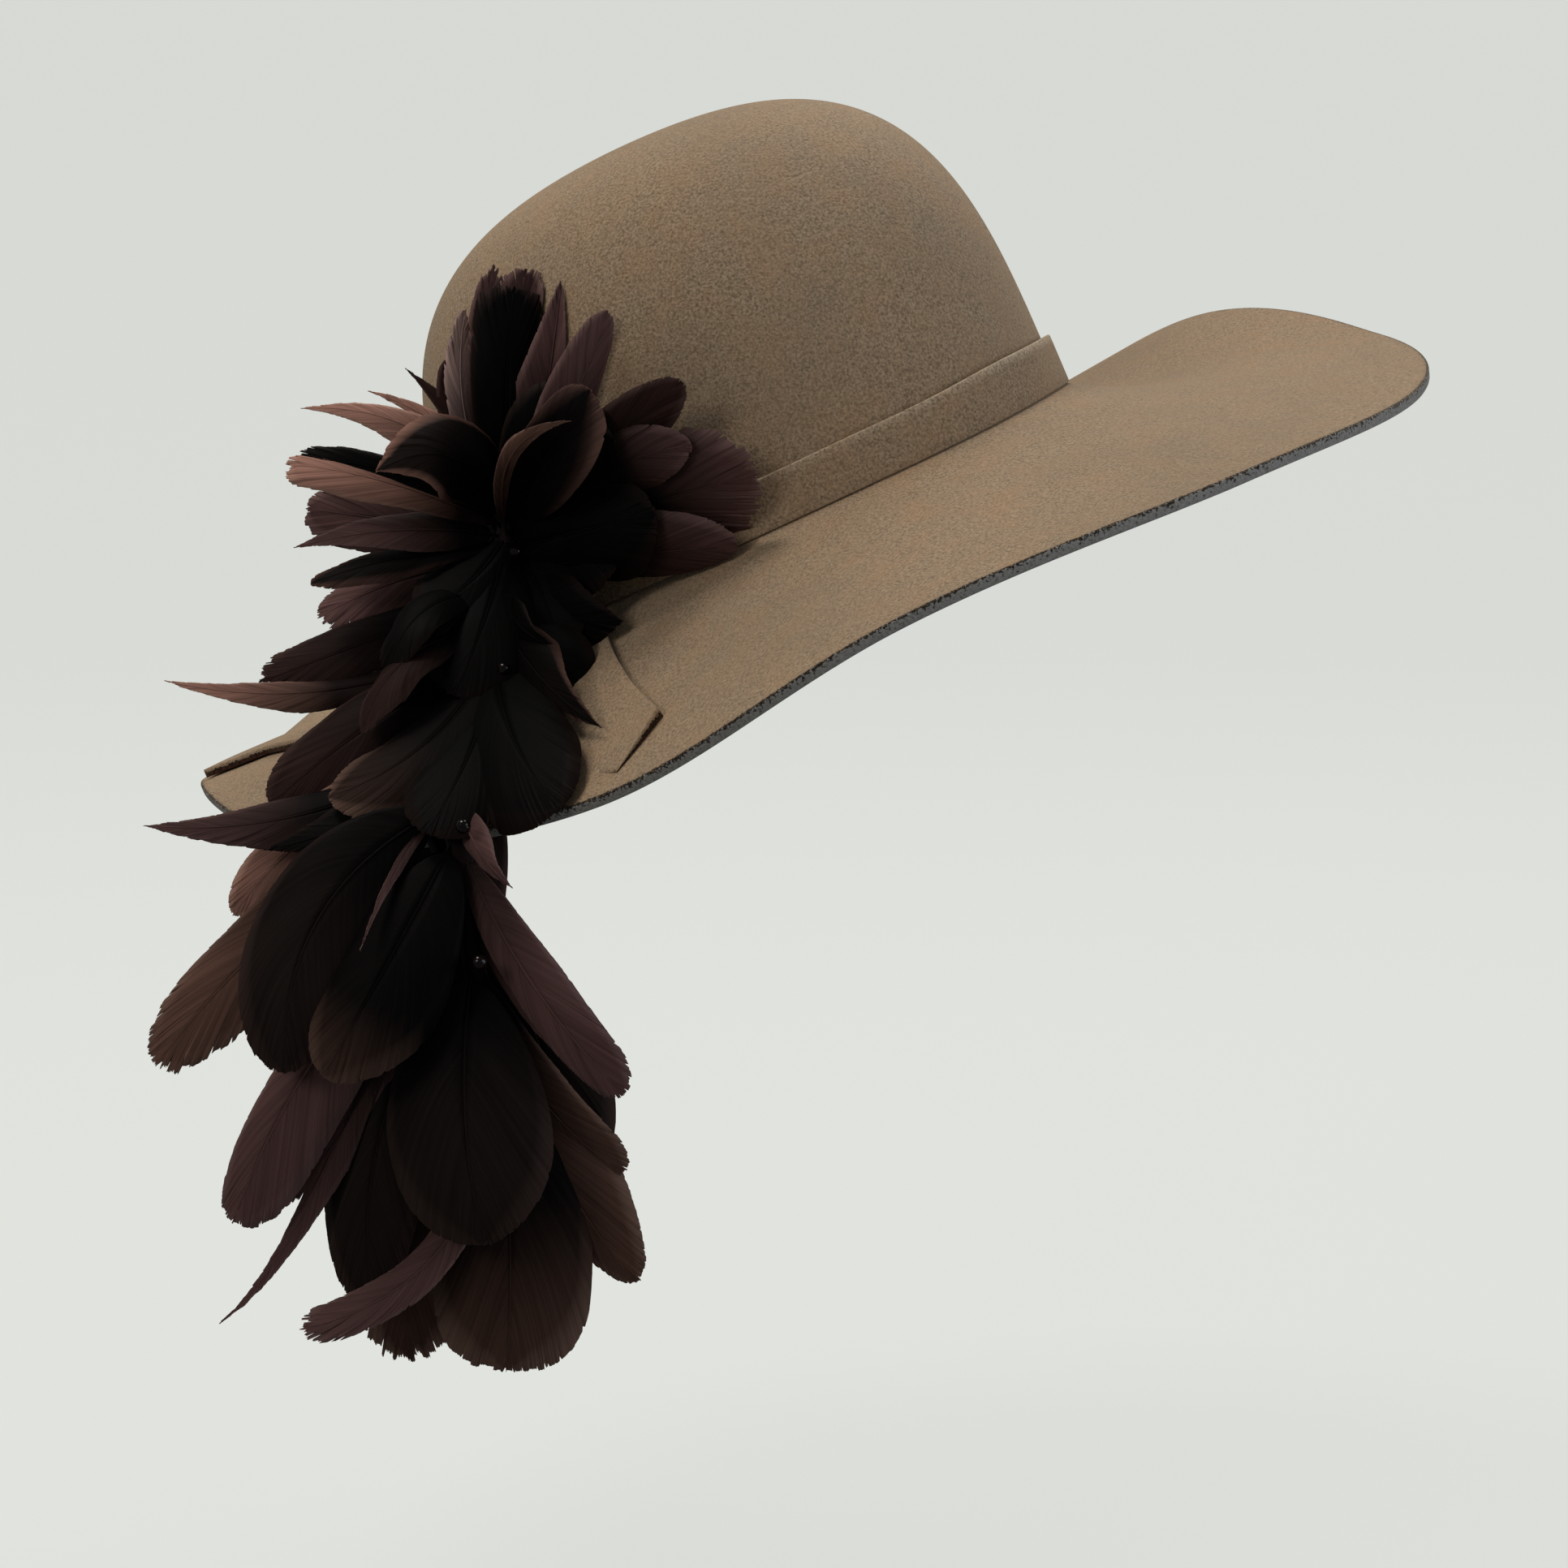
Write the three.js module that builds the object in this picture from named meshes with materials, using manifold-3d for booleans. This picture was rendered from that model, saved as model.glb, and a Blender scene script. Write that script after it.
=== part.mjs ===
// Wide-brimmed felt hat with a hanging cascade of goose feathers, held as a head wears it.
// Millimetres, +Z up. The wearer faces -Y and the wearer's right is -X.
// The origin is the centre of the head opening, where the crown meets the brim.

import * as THREE from 'three';
import { mergeVertices } from 'three/addons/utils/BufferGeometryUtils.js';
import Module from 'manifold-3d';

// How far the worn hat leans, in degrees about each axis
const LEAN_ABOUT_Y = -19.4;
const LEAN_ABOUT_X = -14.8;
const TURN_ABOUT_Z = 8.8;

// Crown: an oval that closes over the head
const HALF_WIDTH = 85.5;
const HALF_LENGTH = 101.5;
const CROWN_HEIGHT = 119.9;
const CROWN_FULLNESS = 3.81;
const CROWN_ROUNDING = 2.66;
const CROWN_TAPER = 0.007;
const CROWN_LEAN_SIDE = 2.7;
const CROWN_LEAN_FRONT = 0;
const CROWN_WALL = 2.6;
const CROWN_RINGS = 9;

// Brim: width and droop in a row for each twelfth of the way round, 0 at the front and 90 at
// the wearer's left. A negative droop turns up, and `roll` is how high the felt curves up where
// it meets the crown.
const BRIM_WALL = 3.2;
const BRIM_SHARES = [0, 0.1, 0.25, 0.6, 1];
const ROLL_REACH = 0.35;
const BRIM = [
  { at: 0, droop: 19.0, width: 102.5, roll: 3.0 },
  { at: 30, droop: 20.0, width: 103.5, roll: 5.4 },
  { at: 60, droop: 11.5, width: 102.0, roll: 6.2 },
  { at: 90, droop: -4.0, width: 100.0, roll: 6.0 },
  { at: 120, droop: -1.5, width: 99.5, roll: 4.5 },
  { at: 150, droop: -3.5, width: 100.5, roll: 3.0 },
  { at: 180, droop: -9.0, width: 101.5, roll: 2.0 },
  { at: 210, droop: -1.0, width: 100.5, roll: 2.0 },
  { at: 240, droop: 0.5, width: 97.5, roll: 2.0 },
  { at: 270, droop: 18.0, width: 95.0, roll: 1.5 },
  { at: 300, droop: 27.0, width: 95.5, roll: 1.5 },
  { at: 330, droop: 18.5, width: 99.0, roll: 1.8 },
];

// Band: a strip of the same felt round the foot of the crown
const BAND_CLEAR = 0.5;
const BAND_HEIGHT = 13.2;
const BAND_THICKNESS = 2.4;

// Tie: a flat felt bow under the feathers, with a tail towards the front and one to the back.
// Each row is a line across it, from its crown side to its edge side. The angle is round the
// hat, `out` is the share of the brim's width and `thick` is the felt above the brim.
const TIE = [
  { crownAt: 234.0, crownOut: 0.955, edgeAt: 235.5, edgeOut: 0.975, crownThick: 3.6, edgeThick: 4.2 },
  { crownAt: 224.0, crownOut: 0.72, edgeAt: 238.0, edgeOut: 0.78, crownThick: 3.0, edgeThick: 3.8 },
  { crownAt: 236.0, crownOut: 0.34, edgeAt: 247.0, edgeOut: 0.62, crownThick: 2.6, edgeThick: 3.0 },
  { crownAt: 254.0, crownOut: 0.14, edgeAt: 262.0, edgeOut: 0.46, crownThick: 2.4, edgeThick: 2.4 },
  { crownAt: 272.0, crownOut: 0.08, edgeAt: 277.0, edgeOut: 0.42, crownThick: 2.4, edgeThick: 2.2 },
  { crownAt: 288.0, crownOut: 0.10, edgeAt: 288.0, edgeOut: 0.70, crownThick: 2.8, edgeThick: 1.2 },
  { crownAt: 297.5, crownOut: 0.42, edgeAt: 297.0, edgeOut: 0.85, crownThick: 3.0, edgeThick: 1.0 },
  { crownAt: 304.0, crownOut: 0.66, edgeAt: 302.0, edgeOut: 0.92, crownThick: 3.2, edgeThick: 1.4 },
  { crownAt: 306.0, crownOut: 0.745, edgeAt: 305.0, edgeOut: 0.79, crownThick: 3.4, edgeThick: 3.0 },
];

// Layout of the feathers: a frame that faces the hat's front right quarter. `right` and `up`
// lie in that frame's plane and `out` comes towards the front right.
const LAYOUT_TURN = -30;
const LAYOUT_RISE = 8;

// Stem: the stitched backing that every quill is bound to, from the crown down past the brim
const STEM_RADIUS = 4.5;
const STEM = [
  { right: -76, up: -3, out: 62 },
  { right: -79, up: -43, out: 82 },
  { right: -85, up: -85, out: 134 },
  { right: -80, up: -123, out: 134 },
  { right: -76, up: -157, out: 128 },
];

// Pads of bound felt that hold the stem to the crown and to the brim
const PADS = [
  { right: -72, up: -8, out: 56, radius: 12 },
  { right: -77, up: -44, out: 66, radius: 12 },
];

// Feather tips: where along the feather it is widest, and how its end closes
const TIPS = {
  round: { widest: 0.64, close: 2.0, blunt: 2.0 },
  ragged: { widest: 0.62, close: 3.0, blunt: 2.4 },
  blunt: { widest: 0.6, close: 5.0, blunt: 2.6 },
  broad: { widest: 0.55, close: 1.3, blunt: 1.15 },
  point: { widest: 0.42, close: 1.15, blunt: 1.0 },
  sword: { widest: 0.6, close: 1.2, blunt: 1.0 },
};

// Feathers: `station` is the place along the stem, `aim` the angle of the feather in the
// layout frame (0 right, 90 up), `rise` how far the tip comes out, `sweep` and `bow` how far
// the middle bends sideways and out, and `roll` the turn about the feather's own line.
const FEATHERS = [
  // Rosette, up against the crown
  { station: 0.00, aim: 88, length: 65, rise: 14, width: 20, sweep: 1, bow: 6, roll: 5, tip: 'blunt' },
  { station: 0.00, aim: 93, length: 72, rise: 8, width: 13, sweep: 6, bow: 3, roll: 20, tip: 'broad' },
  { station: 0.00, aim: 86, length: 71, rise: 8, width: 17, sweep: 0, bow: 3, roll: 5, tip: 'blunt' },
  { station: 0.00, aim: 101, length: 61, rise: 6, width: 10, sweep: 6, bow: 4, roll: 30, tip: 'round' },
  { station: 0.00, aim: 111, length: 50, rise: -4, width: 11, sweep: 3, bow: 2, roll: 30, tip: 'round' },
  { station: 0.00, aim: 77, length: 68, rise: 24, width: 17, sweep: -2, bow: 5, roll: 20, tip: 'broad' },
  { station: 0.10, aim: 64, length: 67, rise: 36, width: 13, sweep: -2, bow: 8, roll: 35, tip: 'round' },
  { station: 0.15, aim: 39, length: 65, rise: 46, width: 18, sweep: 0, bow: 10, roll: 25, tip: 'round' },
  { station: 0.20, aim: 26, length: 59, rise: 44, width: 19, sweep: 5, bow: 10, roll: 10, tip: 'round' },
  { station: 0.25, aim: 16, length: 74, rise: 40, width: 38, sweep: 1, bow: 9, roll: 20, tip: 'ragged' },
  { station: 0.35, aim: 5, length: 66, rise: 32, width: 20, sweep: 0, bow: 8, roll: 40, tip: 'ragged' },
  { station: 0.40, aim: -22, length: 37, rise: 26, width: 18, sweep: -3, bow: 5, roll: 20, tip: 'round' },
  // Rosette, cupped towards the front
  { station: 0.10, aim: 56, length: 45, rise: 42, width: 20, sweep: 0, bow: 18, roll: 8, tip: 'round' },
  { station: 0.10, aim: 54, length: 35, rise: 46, width: 7, sweep: 3, bow: 20, roll: 20, tip: 'broad' },
  { station: 0.00, aim: 162, length: 35, rise: 42, width: 26, sweep: -11, bow: 10, roll: 20, tip: 'broad' },
  // Rosette, out to the side
  { station: 0.05, aim: 150, length: 66, rise: 12, width: 13, sweep: -11, bow: 4, roll: 30, tip: 'point' },
  { station: 0.00, aim: 137, length: 54, rise: 4, width: 9, sweep: -7, bow: 2, roll: 30, tip: 'point' },
  { station: 0.00, aim: 124, length: 53, rise: -2, width: 10, sweep: -4, bow: 2, roll: 30, tip: 'point' },
  { station: 0.05, aim: 164, length: 63, rise: 16, width: 19, sweep: -3, bow: 6, roll: 35, tip: 'broad' },
  { station: 0.10, aim: 172, length: 57, rise: 2, width: 18, sweep: 0, bow: 2, roll: 25, tip: 'blunt' },
  { station: 0.10, aim: -176, length: 58, rise: 18, width: 15, sweep: -3, bow: 6, roll: 35, tip: 'point' },
  { station: 0.15, aim: -167, length: 54, rise: 21, width: 12, sweep: -2, bow: 4, roll: 40, tip: 'round' },
  { station: 0.25, aim: -162, length: 55, rise: 3, width: 16, sweep: -3, bow: 2, roll: 30, tip: 'blunt' },
  { station: 0.45, aim: -158, length: 72, rise: 9, width: 19, sweep: 1, bow: 6, roll: 35, tip: 'ragged' },
  { station: 0.80, aim: -172, length: 91, rise: 14, width: 15, sweep: 9, bow: 4, roll: 40, tip: 'sword' },
  // Rosette, the side away from the front
  { station: 0.05, aim: 150, length: 30, rise: -46, width: 26, sweep: 2, bow: -6, roll: 10, tip: 'round' },
  { station: 0.10, aim: 176, length: 34, rise: -44, width: 26, sweep: 2, bow: -8, roll: -10, tip: 'round' },
  { station: 0.20, aim: -158, length: 32, rise: -46, width: 26, sweep: -2, bow: -8, roll: 15, tip: 'ragged' },
  { station: 0.40, aim: -170, length: 44, rise: -36, width: 24, sweep: 2, bow: -8, roll: -20, tip: 'round' },
  { station: 0.60, aim: -150, length: 40, rise: -40, width: 26, sweep: 2, bow: -6, roll: 20, tip: 'ragged' },
  { station: 0.85, aim: -160, length: 48, rise: -34, width: 24, sweep: 3, bow: -6, roll: 10, tip: 'round' },
  { station: 1.20, aim: -150, length: 52, rise: -34, width: 24, sweep: 2, bow: -6, roll: -10, tip: 'round' },
  { station: 0.00, aim: 120, length: 36, rise: -30, width: 22, sweep: -2, bow: -4, roll: 20, tip: 'round' },
  // Heart of the rosette
  { station: 0.05, aim: -134, length: 35, rise: 25, width: 26, sweep: 4, bow: 6, roll: 20, tip: 'round' },
  { station: 0.10, aim: -105, length: 47, rise: 36, width: 28, sweep: 2, bow: 8, roll: 15, tip: 'round' },
  { station: 0.10, aim: -63, length: 36, rise: 28, width: 26, sweep: 2, bow: 6, roll: 20, tip: 'round' },
  { station: 0.05, aim: -21, length: 34, rise: 32, width: 26, sweep: 2, bow: 4, roll: 20, tip: 'round' },
  { station: 0.50, aim: -140, length: 37, rise: 28, width: 16, sweep: -8, bow: 8, roll: 40, tip: 'round' },
  { station: 0.75, aim: -139, length: 45, rise: 31, width: 14, sweep: -8, bow: 8, roll: 50, tip: 'round' },
  { station: 0.50, aim: -42, length: 25, rise: 32, width: 12, sweep: -3, bow: 8, roll: 50, tip: 'point' },
  { station: 0.65, aim: -46, length: 45, rise: 60, width: 11, sweep: -3, bow: 4, roll: 30, tip: 'point' },
  // Middle, over the brim
  { station: 0.90, aim: -63, length: 49, rise: 72, width: 34, sweep: -4, bow: 8, roll: 10, tip: 'round' },
  { station: 0.95, aim: -106, length: 50, rise: 59, width: 32, sweep: 4, bow: 8, roll: 15, tip: 'round' },
  { station: 0.85, aim: -134, length: 59, rise: 45, width: 28, sweep: 8, bow: 12, roll: 35, tip: 'round' },
  { station: 0.90, aim: -144, length: 73, rise: 24, width: 24, sweep: -2, bow: 8, roll: 30, tip: 'round' },
  { station: 1.45, aim: -164, length: 91, rise: 15, width: 16, sweep: 9, bow: 6, roll: 30, tip: 'sword' },
  { station: 1.60, aim: -155, length: 60, rise: 9, width: 20, sweep: 4, bow: 8, roll: 30, tip: 'point' },
  // Tail, left side
  { station: 1.60, aim: -146, length: 74, rise: -1, width: 19, sweep: -7, bow: 2, roll: 30, tip: 'round' },
  { station: 1.95, aim: -139, length: 99, rise: -11, width: 26, sweep: -6, bow: 2, roll: 25, tip: 'blunt' },
  { station: 1.90, aim: -122, length: 83, rise: 17, width: 34, sweep: -14, bow: 6, roll: 5, tip: 'round' },
  { station: 2.10, aim: -118, length: 71, rise: 18, width: 32, sweep: 1, bow: 6, roll: 15, tip: 'round' },
  { station: 1.70, aim: -118, length: 53, rise: 20, width: 8, sweep: -7, bow: 2, roll: 30, tip: 'point' },
  { station: 2.50, aim: -125, length: 107, rise: -4, width: 22, sweep: -7, bow: 4, roll: 15, tip: 'blunt' },
  { station: 2.60, aim: -121, length: 92, rise: -8, width: 15, sweep: 2, bow: 2, roll: 30, tip: 'ragged' },
  { station: 2.40, aim: -119, length: 136, rise: -10, width: 12, sweep: 13, bow: 2, roll: 40, tip: 'sword' },
  { station: 2.90, aim: -106, length: 99, rise: -6, width: 28, sweep: -10, bow: 2, roll: 10, tip: 'round' },
  { station: 3.95, aim: -128, length: 80, rise: 10, width: 12, sweep: 16, bow: 6, roll: 20, tip: 'blunt' },
  // Tail, front and right side
  { station: 1.90, aim: -55, length: 27, rise: 21, width: 9, sweep: -2, bow: 4, roll: 30, tip: 'point' },
  { station: 2.15, aim: -56, length: 79, rise: 16, width: 15, sweep: -4, bow: 4, roll: 15, tip: 'blunt' },
  { station: 2.30, aim: -56, length: 73, rise: 10, width: 9, sweep: -7, bow: 2, roll: 40, tip: 'point' },
  { station: 3.20, aim: -101, length: 102, rise: -15, width: 34, sweep: -7, bow: 2, roll: 5, tip: 'round' },
  { station: 3.40, aim: -84, length: 94, rise: 0, width: 42, sweep: 4, bow: 6, roll: 5, tip: 'round' },
  { station: 2.95, aim: -87, length: 74, rise: 16, width: 45, sweep: -3, bow: 8, roll: 5, tip: 'round' },
  { station: 2.90, aim: -56, length: 71, rise: 0, width: 18, sweep: -7, bow: 4, roll: 15, tip: 'blunt' },
  { station: 3.20, aim: -64, length: 86, rise: -5, width: 22, sweep: -4, bow: 4, roll: 20, tip: 'round' },
  { station: 2.60, aim: -71, length: 83, rise: -6, width: 26, sweep: 6, bow: 4, roll: 10, tip: 'round' },
  // Tail, the side away from the front
  { station: 1.50, aim: -98, length: 66, rise: -30, width: 28, sweep: 0, bow: -6, roll: -10, tip: 'round' },
  { station: 2.10, aim: -112, length: 78, rise: -34, width: 30, sweep: -4, bow: -6, roll: -15, tip: 'round' },
  { station: 2.60, aim: -84, length: 80, rise: -34, width: 30, sweep: 3, bow: -6, roll: 10, tip: 'round' },
  { station: 3.10, aim: -104, length: 84, rise: -30, width: 32, sweep: -3, bow: -5, roll: -5, tip: 'round' },
  { station: 3.30, aim: -72, length: 78, rise: -28, width: 28, sweep: 3, bow: -5, roll: 10, tip: 'round' },
];
const BLADE_STEPS = [0.0, 0.1, 0.3, 0.52, 0.74, 0.92];
const QUILL_END = 0.08;
const QUILL_HALF = 0.9;
const BLADE_THICKNESS = 2.2;
const BLADE_CUP = 0.16;

// Beads: dark faceted glass at the heart of each cluster of feathers
const BEAD_RADIUS = 2.3;
const BEAD_SIDES = 10;
const BEAD_RINGS = 6;
const BEADS = [
  { name: 'bead_crown', right: -73.0, up: -12.0, out: 80 },
  { name: 'bead_brim', right: -75.0, up: -45.0, out: 98 },
  { name: 'bead_edge', right: -82.0, up: -87.0, out: 146 },
  { name: 'bead_tail', right: -77.5, up: -122.0, out: 150 },
];

const AROUND = 50;
const GAP = 0.35;
const HOLD_CLEAR = 0.5;
const SMALLEST_DETAIL = 0.24;

const DEGREE = Math.PI / 180;
const wasm = await Module();
wasm.setup();

// The turn from the hat's own upright frame to the way it sits on the head
const worn = new THREE.Matrix4()
  .makeRotationY(LEAN_ABOUT_Y * DEGREE)
  .multiply(new THREE.Matrix4().makeRotationX(LEAN_ABOUT_X * DEGREE))
  .multiply(new THREE.Matrix4().makeRotationZ(TURN_ABOUT_Z * DEGREE));

// The layout frame's axes
const layoutOut = new THREE.Vector3(
  Math.sin(LAYOUT_TURN * DEGREE) * Math.cos(LAYOUT_RISE * DEGREE),
  -Math.cos(LAYOUT_TURN * DEGREE) * Math.cos(LAYOUT_RISE * DEGREE),
  Math.sin(LAYOUT_RISE * DEGREE),
);
const layoutRight = new THREE.Vector3(Math.cos(LAYOUT_TURN * DEGREE), Math.sin(LAYOUT_TURN * DEGREE), 0);
const layoutUp = new THREE.Vector3().crossVectors(layoutOut, layoutRight);

function fromLayout({ right, up, out }) {
  return new THREE.Vector3()
    .addScaledVector(layoutRight, right)
    .addScaledVector(layoutUp, up)
    .addScaledVector(layoutOut, out);
}

// A column of the brim table at any angle, on a smooth closed curve through its rows
function brimValue(column, angle) {
  const turn = (((angle % 360) + 360) % 360) / 360 * BRIM.length;
  const row = Math.floor(turn);
  const t = turn - row;
  const [a, b, c, d] = [-1, 0, 1, 2].map((k) => BRIM[(row + k + BRIM.length) % BRIM.length][column]);
  const linear = c - a;
  const square = 2 * a - 5 * b + 4 * c - d;
  const cube = 3 * b - a - 3 * c + d;
  return 0.5 * (2 * b + linear * t + square * t * t + cube * t * t * t);
}

// The foot of the crown and the way out from it, level, at an angle round the hat
function footOfCrown(angle) {
  const a = angle * DEGREE;
  const foot = new THREE.Vector3(HALF_WIDTH * Math.sin(a), -HALF_LENGTH * Math.cos(a), 0);
  const away = new THREE.Vector3(Math.sin(a) / HALF_WIDTH, -Math.cos(a) / HALF_LENGTH, 0).normalize();
  return { foot, away };
}

// A point on the crown at a share of its height, set out from the felt by `grow`
function crownPoint(angle, share, grow) {
  const risen = Math.min(1, Math.max(0, share));
  const reach = Math.pow(1 - Math.pow(risen, CROWN_FULLNESS), 1 / CROWN_ROUNDING);
  const size = reach * (1 - CROWN_TAPER * share);
  const a = angle * DEGREE;
  return new THREE.Vector3(
    (HALF_WIDTH + grow) * Math.sin(a) * size + CROWN_LEAN_SIDE * share,
    -(HALF_LENGTH + grow) * Math.cos(a) * size + CROWN_LEAN_FRONT * share,
    (CROWN_HEIGHT + grow) * share,
  );
}

// A point on the brim at a share of its width, lifted square to the felt by `lift`
function brimPoint(angle, out, lift) {
  const { foot, away } = footOfCrown(angle);
  const droop = brimValue('droop', angle) * DEGREE;
  const along = brimValue('width', angle) * out;
  const rolled = brimValue('roll', angle) * Math.pow(Math.max(0, 1 - out / ROLL_REACH), 2);
  return foot
    .addScaledVector(away, along * Math.cos(droop) + lift * Math.sin(droop))
    .setZ(rolled - along * Math.sin(droop) + lift * Math.cos(droop));
}

function aroundRing(pointAt) {
  return Array.from({ length: AROUND }, (_, i) => pointAt((360 * i) / AROUND));
}

// A closed solid through rings of points. A ring of one point closes an end, and `loop` joins
// the last ring to the first.
function solidThrough(rings, loop = false) {
  const vertices = rings.flat();
  const starts = [];
  let count = 0;
  for (const ring of rings) {
    starts.push(count);
    count += ring.length;
  }
  const faces = [];
  const pairs = loop ? rings.length : rings.length - 1;
  for (let r = 0; r < pairs; r += 1) {
    const next = (r + 1) % rings.length;
    const sides = Math.max(rings[r].length, rings[next].length);
    for (let i = 0; i < sides; i += 1) {
      const j = (i + 1) % sides;
      const near = starts[r] + (rings[r].length > 1 ? i : 0);
      const nearNext = starts[r] + (rings[r].length > 1 ? j : 0);
      const far = starts[next] + (rings[next].length > 1 ? i : 0);
      const farNext = starts[next] + (rings[next].length > 1 ? j : 0);
      if (rings[r].length > 1) faces.push([near, nearNext, farNext]);
      if (rings[next].length > 1) faces.push([near, farNext, far]);
    }
  }
  let volume = 0;
  for (const [a, b, c] of faces) {
    volume += vertices[a].dot(new THREE.Vector3().crossVectors(vertices[b], vertices[c]));
  }
  const triangles = volume < 0 ? faces.map(([a, b, c]) => [a, c, b]) : faces;
  const mesh = new wasm.Mesh({
    numProp: 3,
    vertProperties: new Float32Array(vertices.flatMap((v) => v.toArray())),
    triVerts: new Uint32Array(triangles.flat()),
  });
  return new wasm.Manifold(mesh);
}

function wornSolid(rings, loop = false) {
  return solidThrough(rings.map((ring) => ring.map((p) => p.clone().applyMatrix4(worn))), loop);
}

// Crown and brim as one wall of felt. `grow` sets its surface out, and a filled one has no
// hollow for the head.
function feltShell(grow, filled) {
  const rings = [[crownPoint(0, 1, grow)]];
  for (let i = 1; i < CROWN_RINGS; i += 1) {
    const share = Math.pow(Math.cos((i / CROWN_RINGS) * 90 * DEGREE), 2 / CROWN_FULLNESS);
    rings.push(aroundRing((angle) => crownPoint(angle, share, grow)));
  }
  const edgeGrow = grow / HALF_LENGTH;
  for (const share of BRIM_SHARES) {
    rings.push(aroundRing((angle) => brimPoint(angle, share * (1 + edgeGrow), grow)));
  }
  for (const share of BRIM_SHARES.slice(1).reverse()) {
    rings.push(aroundRing((angle) => brimPoint(angle, share * (1 + edgeGrow), -BRIM_WALL - grow)));
  }
  if (filled) {
    rings.push([new THREE.Vector3(0, 0, -BRIM_WALL - grow)]);
    return wornSolid(rings);
  }
  rings.push(aroundRing((angle) => (
    crownPoint(angle, 0, -CROWN_WALL).setZ(brimValue('roll', angle) - BRIM_WALL))));
  for (let i = CROWN_RINGS - 1; i > 0; i -= 1) {
    const share = Math.pow(Math.cos((i / CROWN_RINGS) * 90 * DEGREE), 2 / CROWN_FULLNESS);
    rings.push(aroundRing((angle) => crownPoint(angle, share, -CROWN_WALL)));
  }
  rings.push([crownPoint(0, 1, -CROWN_WALL)]);
  return wornSolid(rings);
}

// A point of the band, `away` from the crown: its foot follows the brim and its top stays level
// with the foot of the crown
function bandPoint(angle, away, raised, grow) {
  const foot = brimPoint(angle, away / brimValue('width', angle), BAND_CLEAR).z - grow;
  const top = brimValue('roll', angle) + BAND_CLEAR + BAND_HEIGHT + grow;
  return crownPoint(angle, (raised ? top : foot) / CROWN_HEIGHT, away);
}

function band(grow) {
  const inner = GAP - grow;
  const outer = GAP + BAND_THICKNESS + grow;
  const rings = [
    aroundRing((angle) => bandPoint(angle, inner, false, grow)),
    aroundRing((angle) => bandPoint(angle, outer, false, grow)),
    aroundRing((angle) => bandPoint(angle, outer, true, grow)),
    aroundRing((angle) => bandPoint(angle, inner, true, grow)),
  ];
  return wornSolid(rings, true);
}

function tie(grow) {
  const across = [0, 0.5, 1];
  const mix = (a, b, t) => a + (b - a) * t;
  const sections = TIE.map((row) => {
    const line = (raised) => across.map((t) => brimPoint(
      mix(row.crownAt, row.edgeAt, t),
      mix(row.crownOut, row.edgeOut, t),
      raised ? mix(row.crownThick, row.edgeThick, t) + grow : HOLD_CLEAR - grow,
    ));
    return [...line(true), ...line(false).reverse()];
  });
  const middle = (ring) => [ring.reduce((sum, p) => sum.add(p), new THREE.Vector3()).divideScalar(ring.length)];
  return wornSolid([middle(sections[0]), ...sections, middle(sections[sections.length - 1])]);
}

// A place along the stem, where 0 is its first row, 1 its second and so on
function stemPoint(station) {
  const row = Math.min(Math.floor(station), STEM.length - 2);
  return fromLayout(STEM[row]).lerp(fromLayout(STEM[row + 1]), station - row);
}

// Half the width of a feather at a share of its length
function halfWidth(share, width, tip) {
  const { widest, close, blunt } = TIPS[tip];
  if (share <= QUILL_END) return QUILL_HALF;
  if (share < widest) {
    const grown = Math.sin((((share - QUILL_END) / (widest - QUILL_END)) * Math.PI) / 2);
    return QUILL_HALF + (width / 2 - QUILL_HALF) * Math.pow(grown, 0.6);
  }
  const left = 1 - Math.pow((share - widest) / (1 - widest), close);
  return (width / 2) * Math.pow(Math.max(0, left), 1 / blunt);
}

// One feather as a lens-shaped blade with its edges turned back
function feather(row) {
  const aim = row.aim * DEGREE;
  const ahead = layoutRight.clone().multiplyScalar(Math.cos(aim)).addScaledVector(layoutUp, Math.sin(aim));
  const aside = layoutRight.clone().multiplyScalar(-Math.sin(aim)).addScaledVector(layoutUp, Math.cos(aim));
  const root = stemPoint(row.station);
  const pointAt = (t) => root.clone()
    .addScaledVector(ahead, row.length * t)
    .addScaledVector(aside, row.sweep * 4 * t * (1 - t))
    .addScaledVector(layoutOut, row.bow * 4 * t * (1 - t) + row.rise * t);
  const rings = BLADE_STEPS.map((t) => {
    const forward = ahead.clone().multiplyScalar(row.length)
      .addScaledVector(aside, row.sweep * 4 * (1 - 2 * t))
      .addScaledVector(layoutOut, row.bow * 4 * (1 - 2 * t) + row.rise)
      .normalize();
    const level = new THREE.Vector3().crossVectors(layoutOut, forward).normalize();
    const face = new THREE.Vector3().crossVectors(forward, level);
    const wide = level.clone().applyAxisAngle(forward, row.roll * DEGREE);
    const normal = face.clone().applyAxisAngle(forward, row.roll * DEGREE);
    const half = halfWidth(t, row.width, row.tip);
    const thick = BLADE_THICKNESS * (1 - 0.5 * t);
    const edge = -BLADE_CUP * half;
    return [
      pointAt(t).addScaledVector(wide, half).addScaledVector(normal, edge),
      pointAt(t).addScaledVector(normal, thick / 2),
      pointAt(t).addScaledVector(wide, -half).addScaledVector(normal, edge),
      pointAt(t).addScaledVector(normal, -thick / 2),
    ];
  });
  return solidThrough([[root.clone()], ...rings, [pointAt(1)]]);
}

function ball(centre, radius, sides, rings) {
  const geometry = new THREE.SphereGeometry(radius, sides, rings);
  geometry.deleteAttribute('normal');
  geometry.deleteAttribute('uv');
  geometry.translate(centre.x, centre.y, centre.z);
  const merged = mergeVertices(geometry);
  return new wasm.Manifold(new wasm.Mesh({
    numProp: 3,
    vertProperties: new Float32Array(merged.attributes.position.array),
    triVerts: new Uint32Array(merged.index.array),
  }));
}

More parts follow.
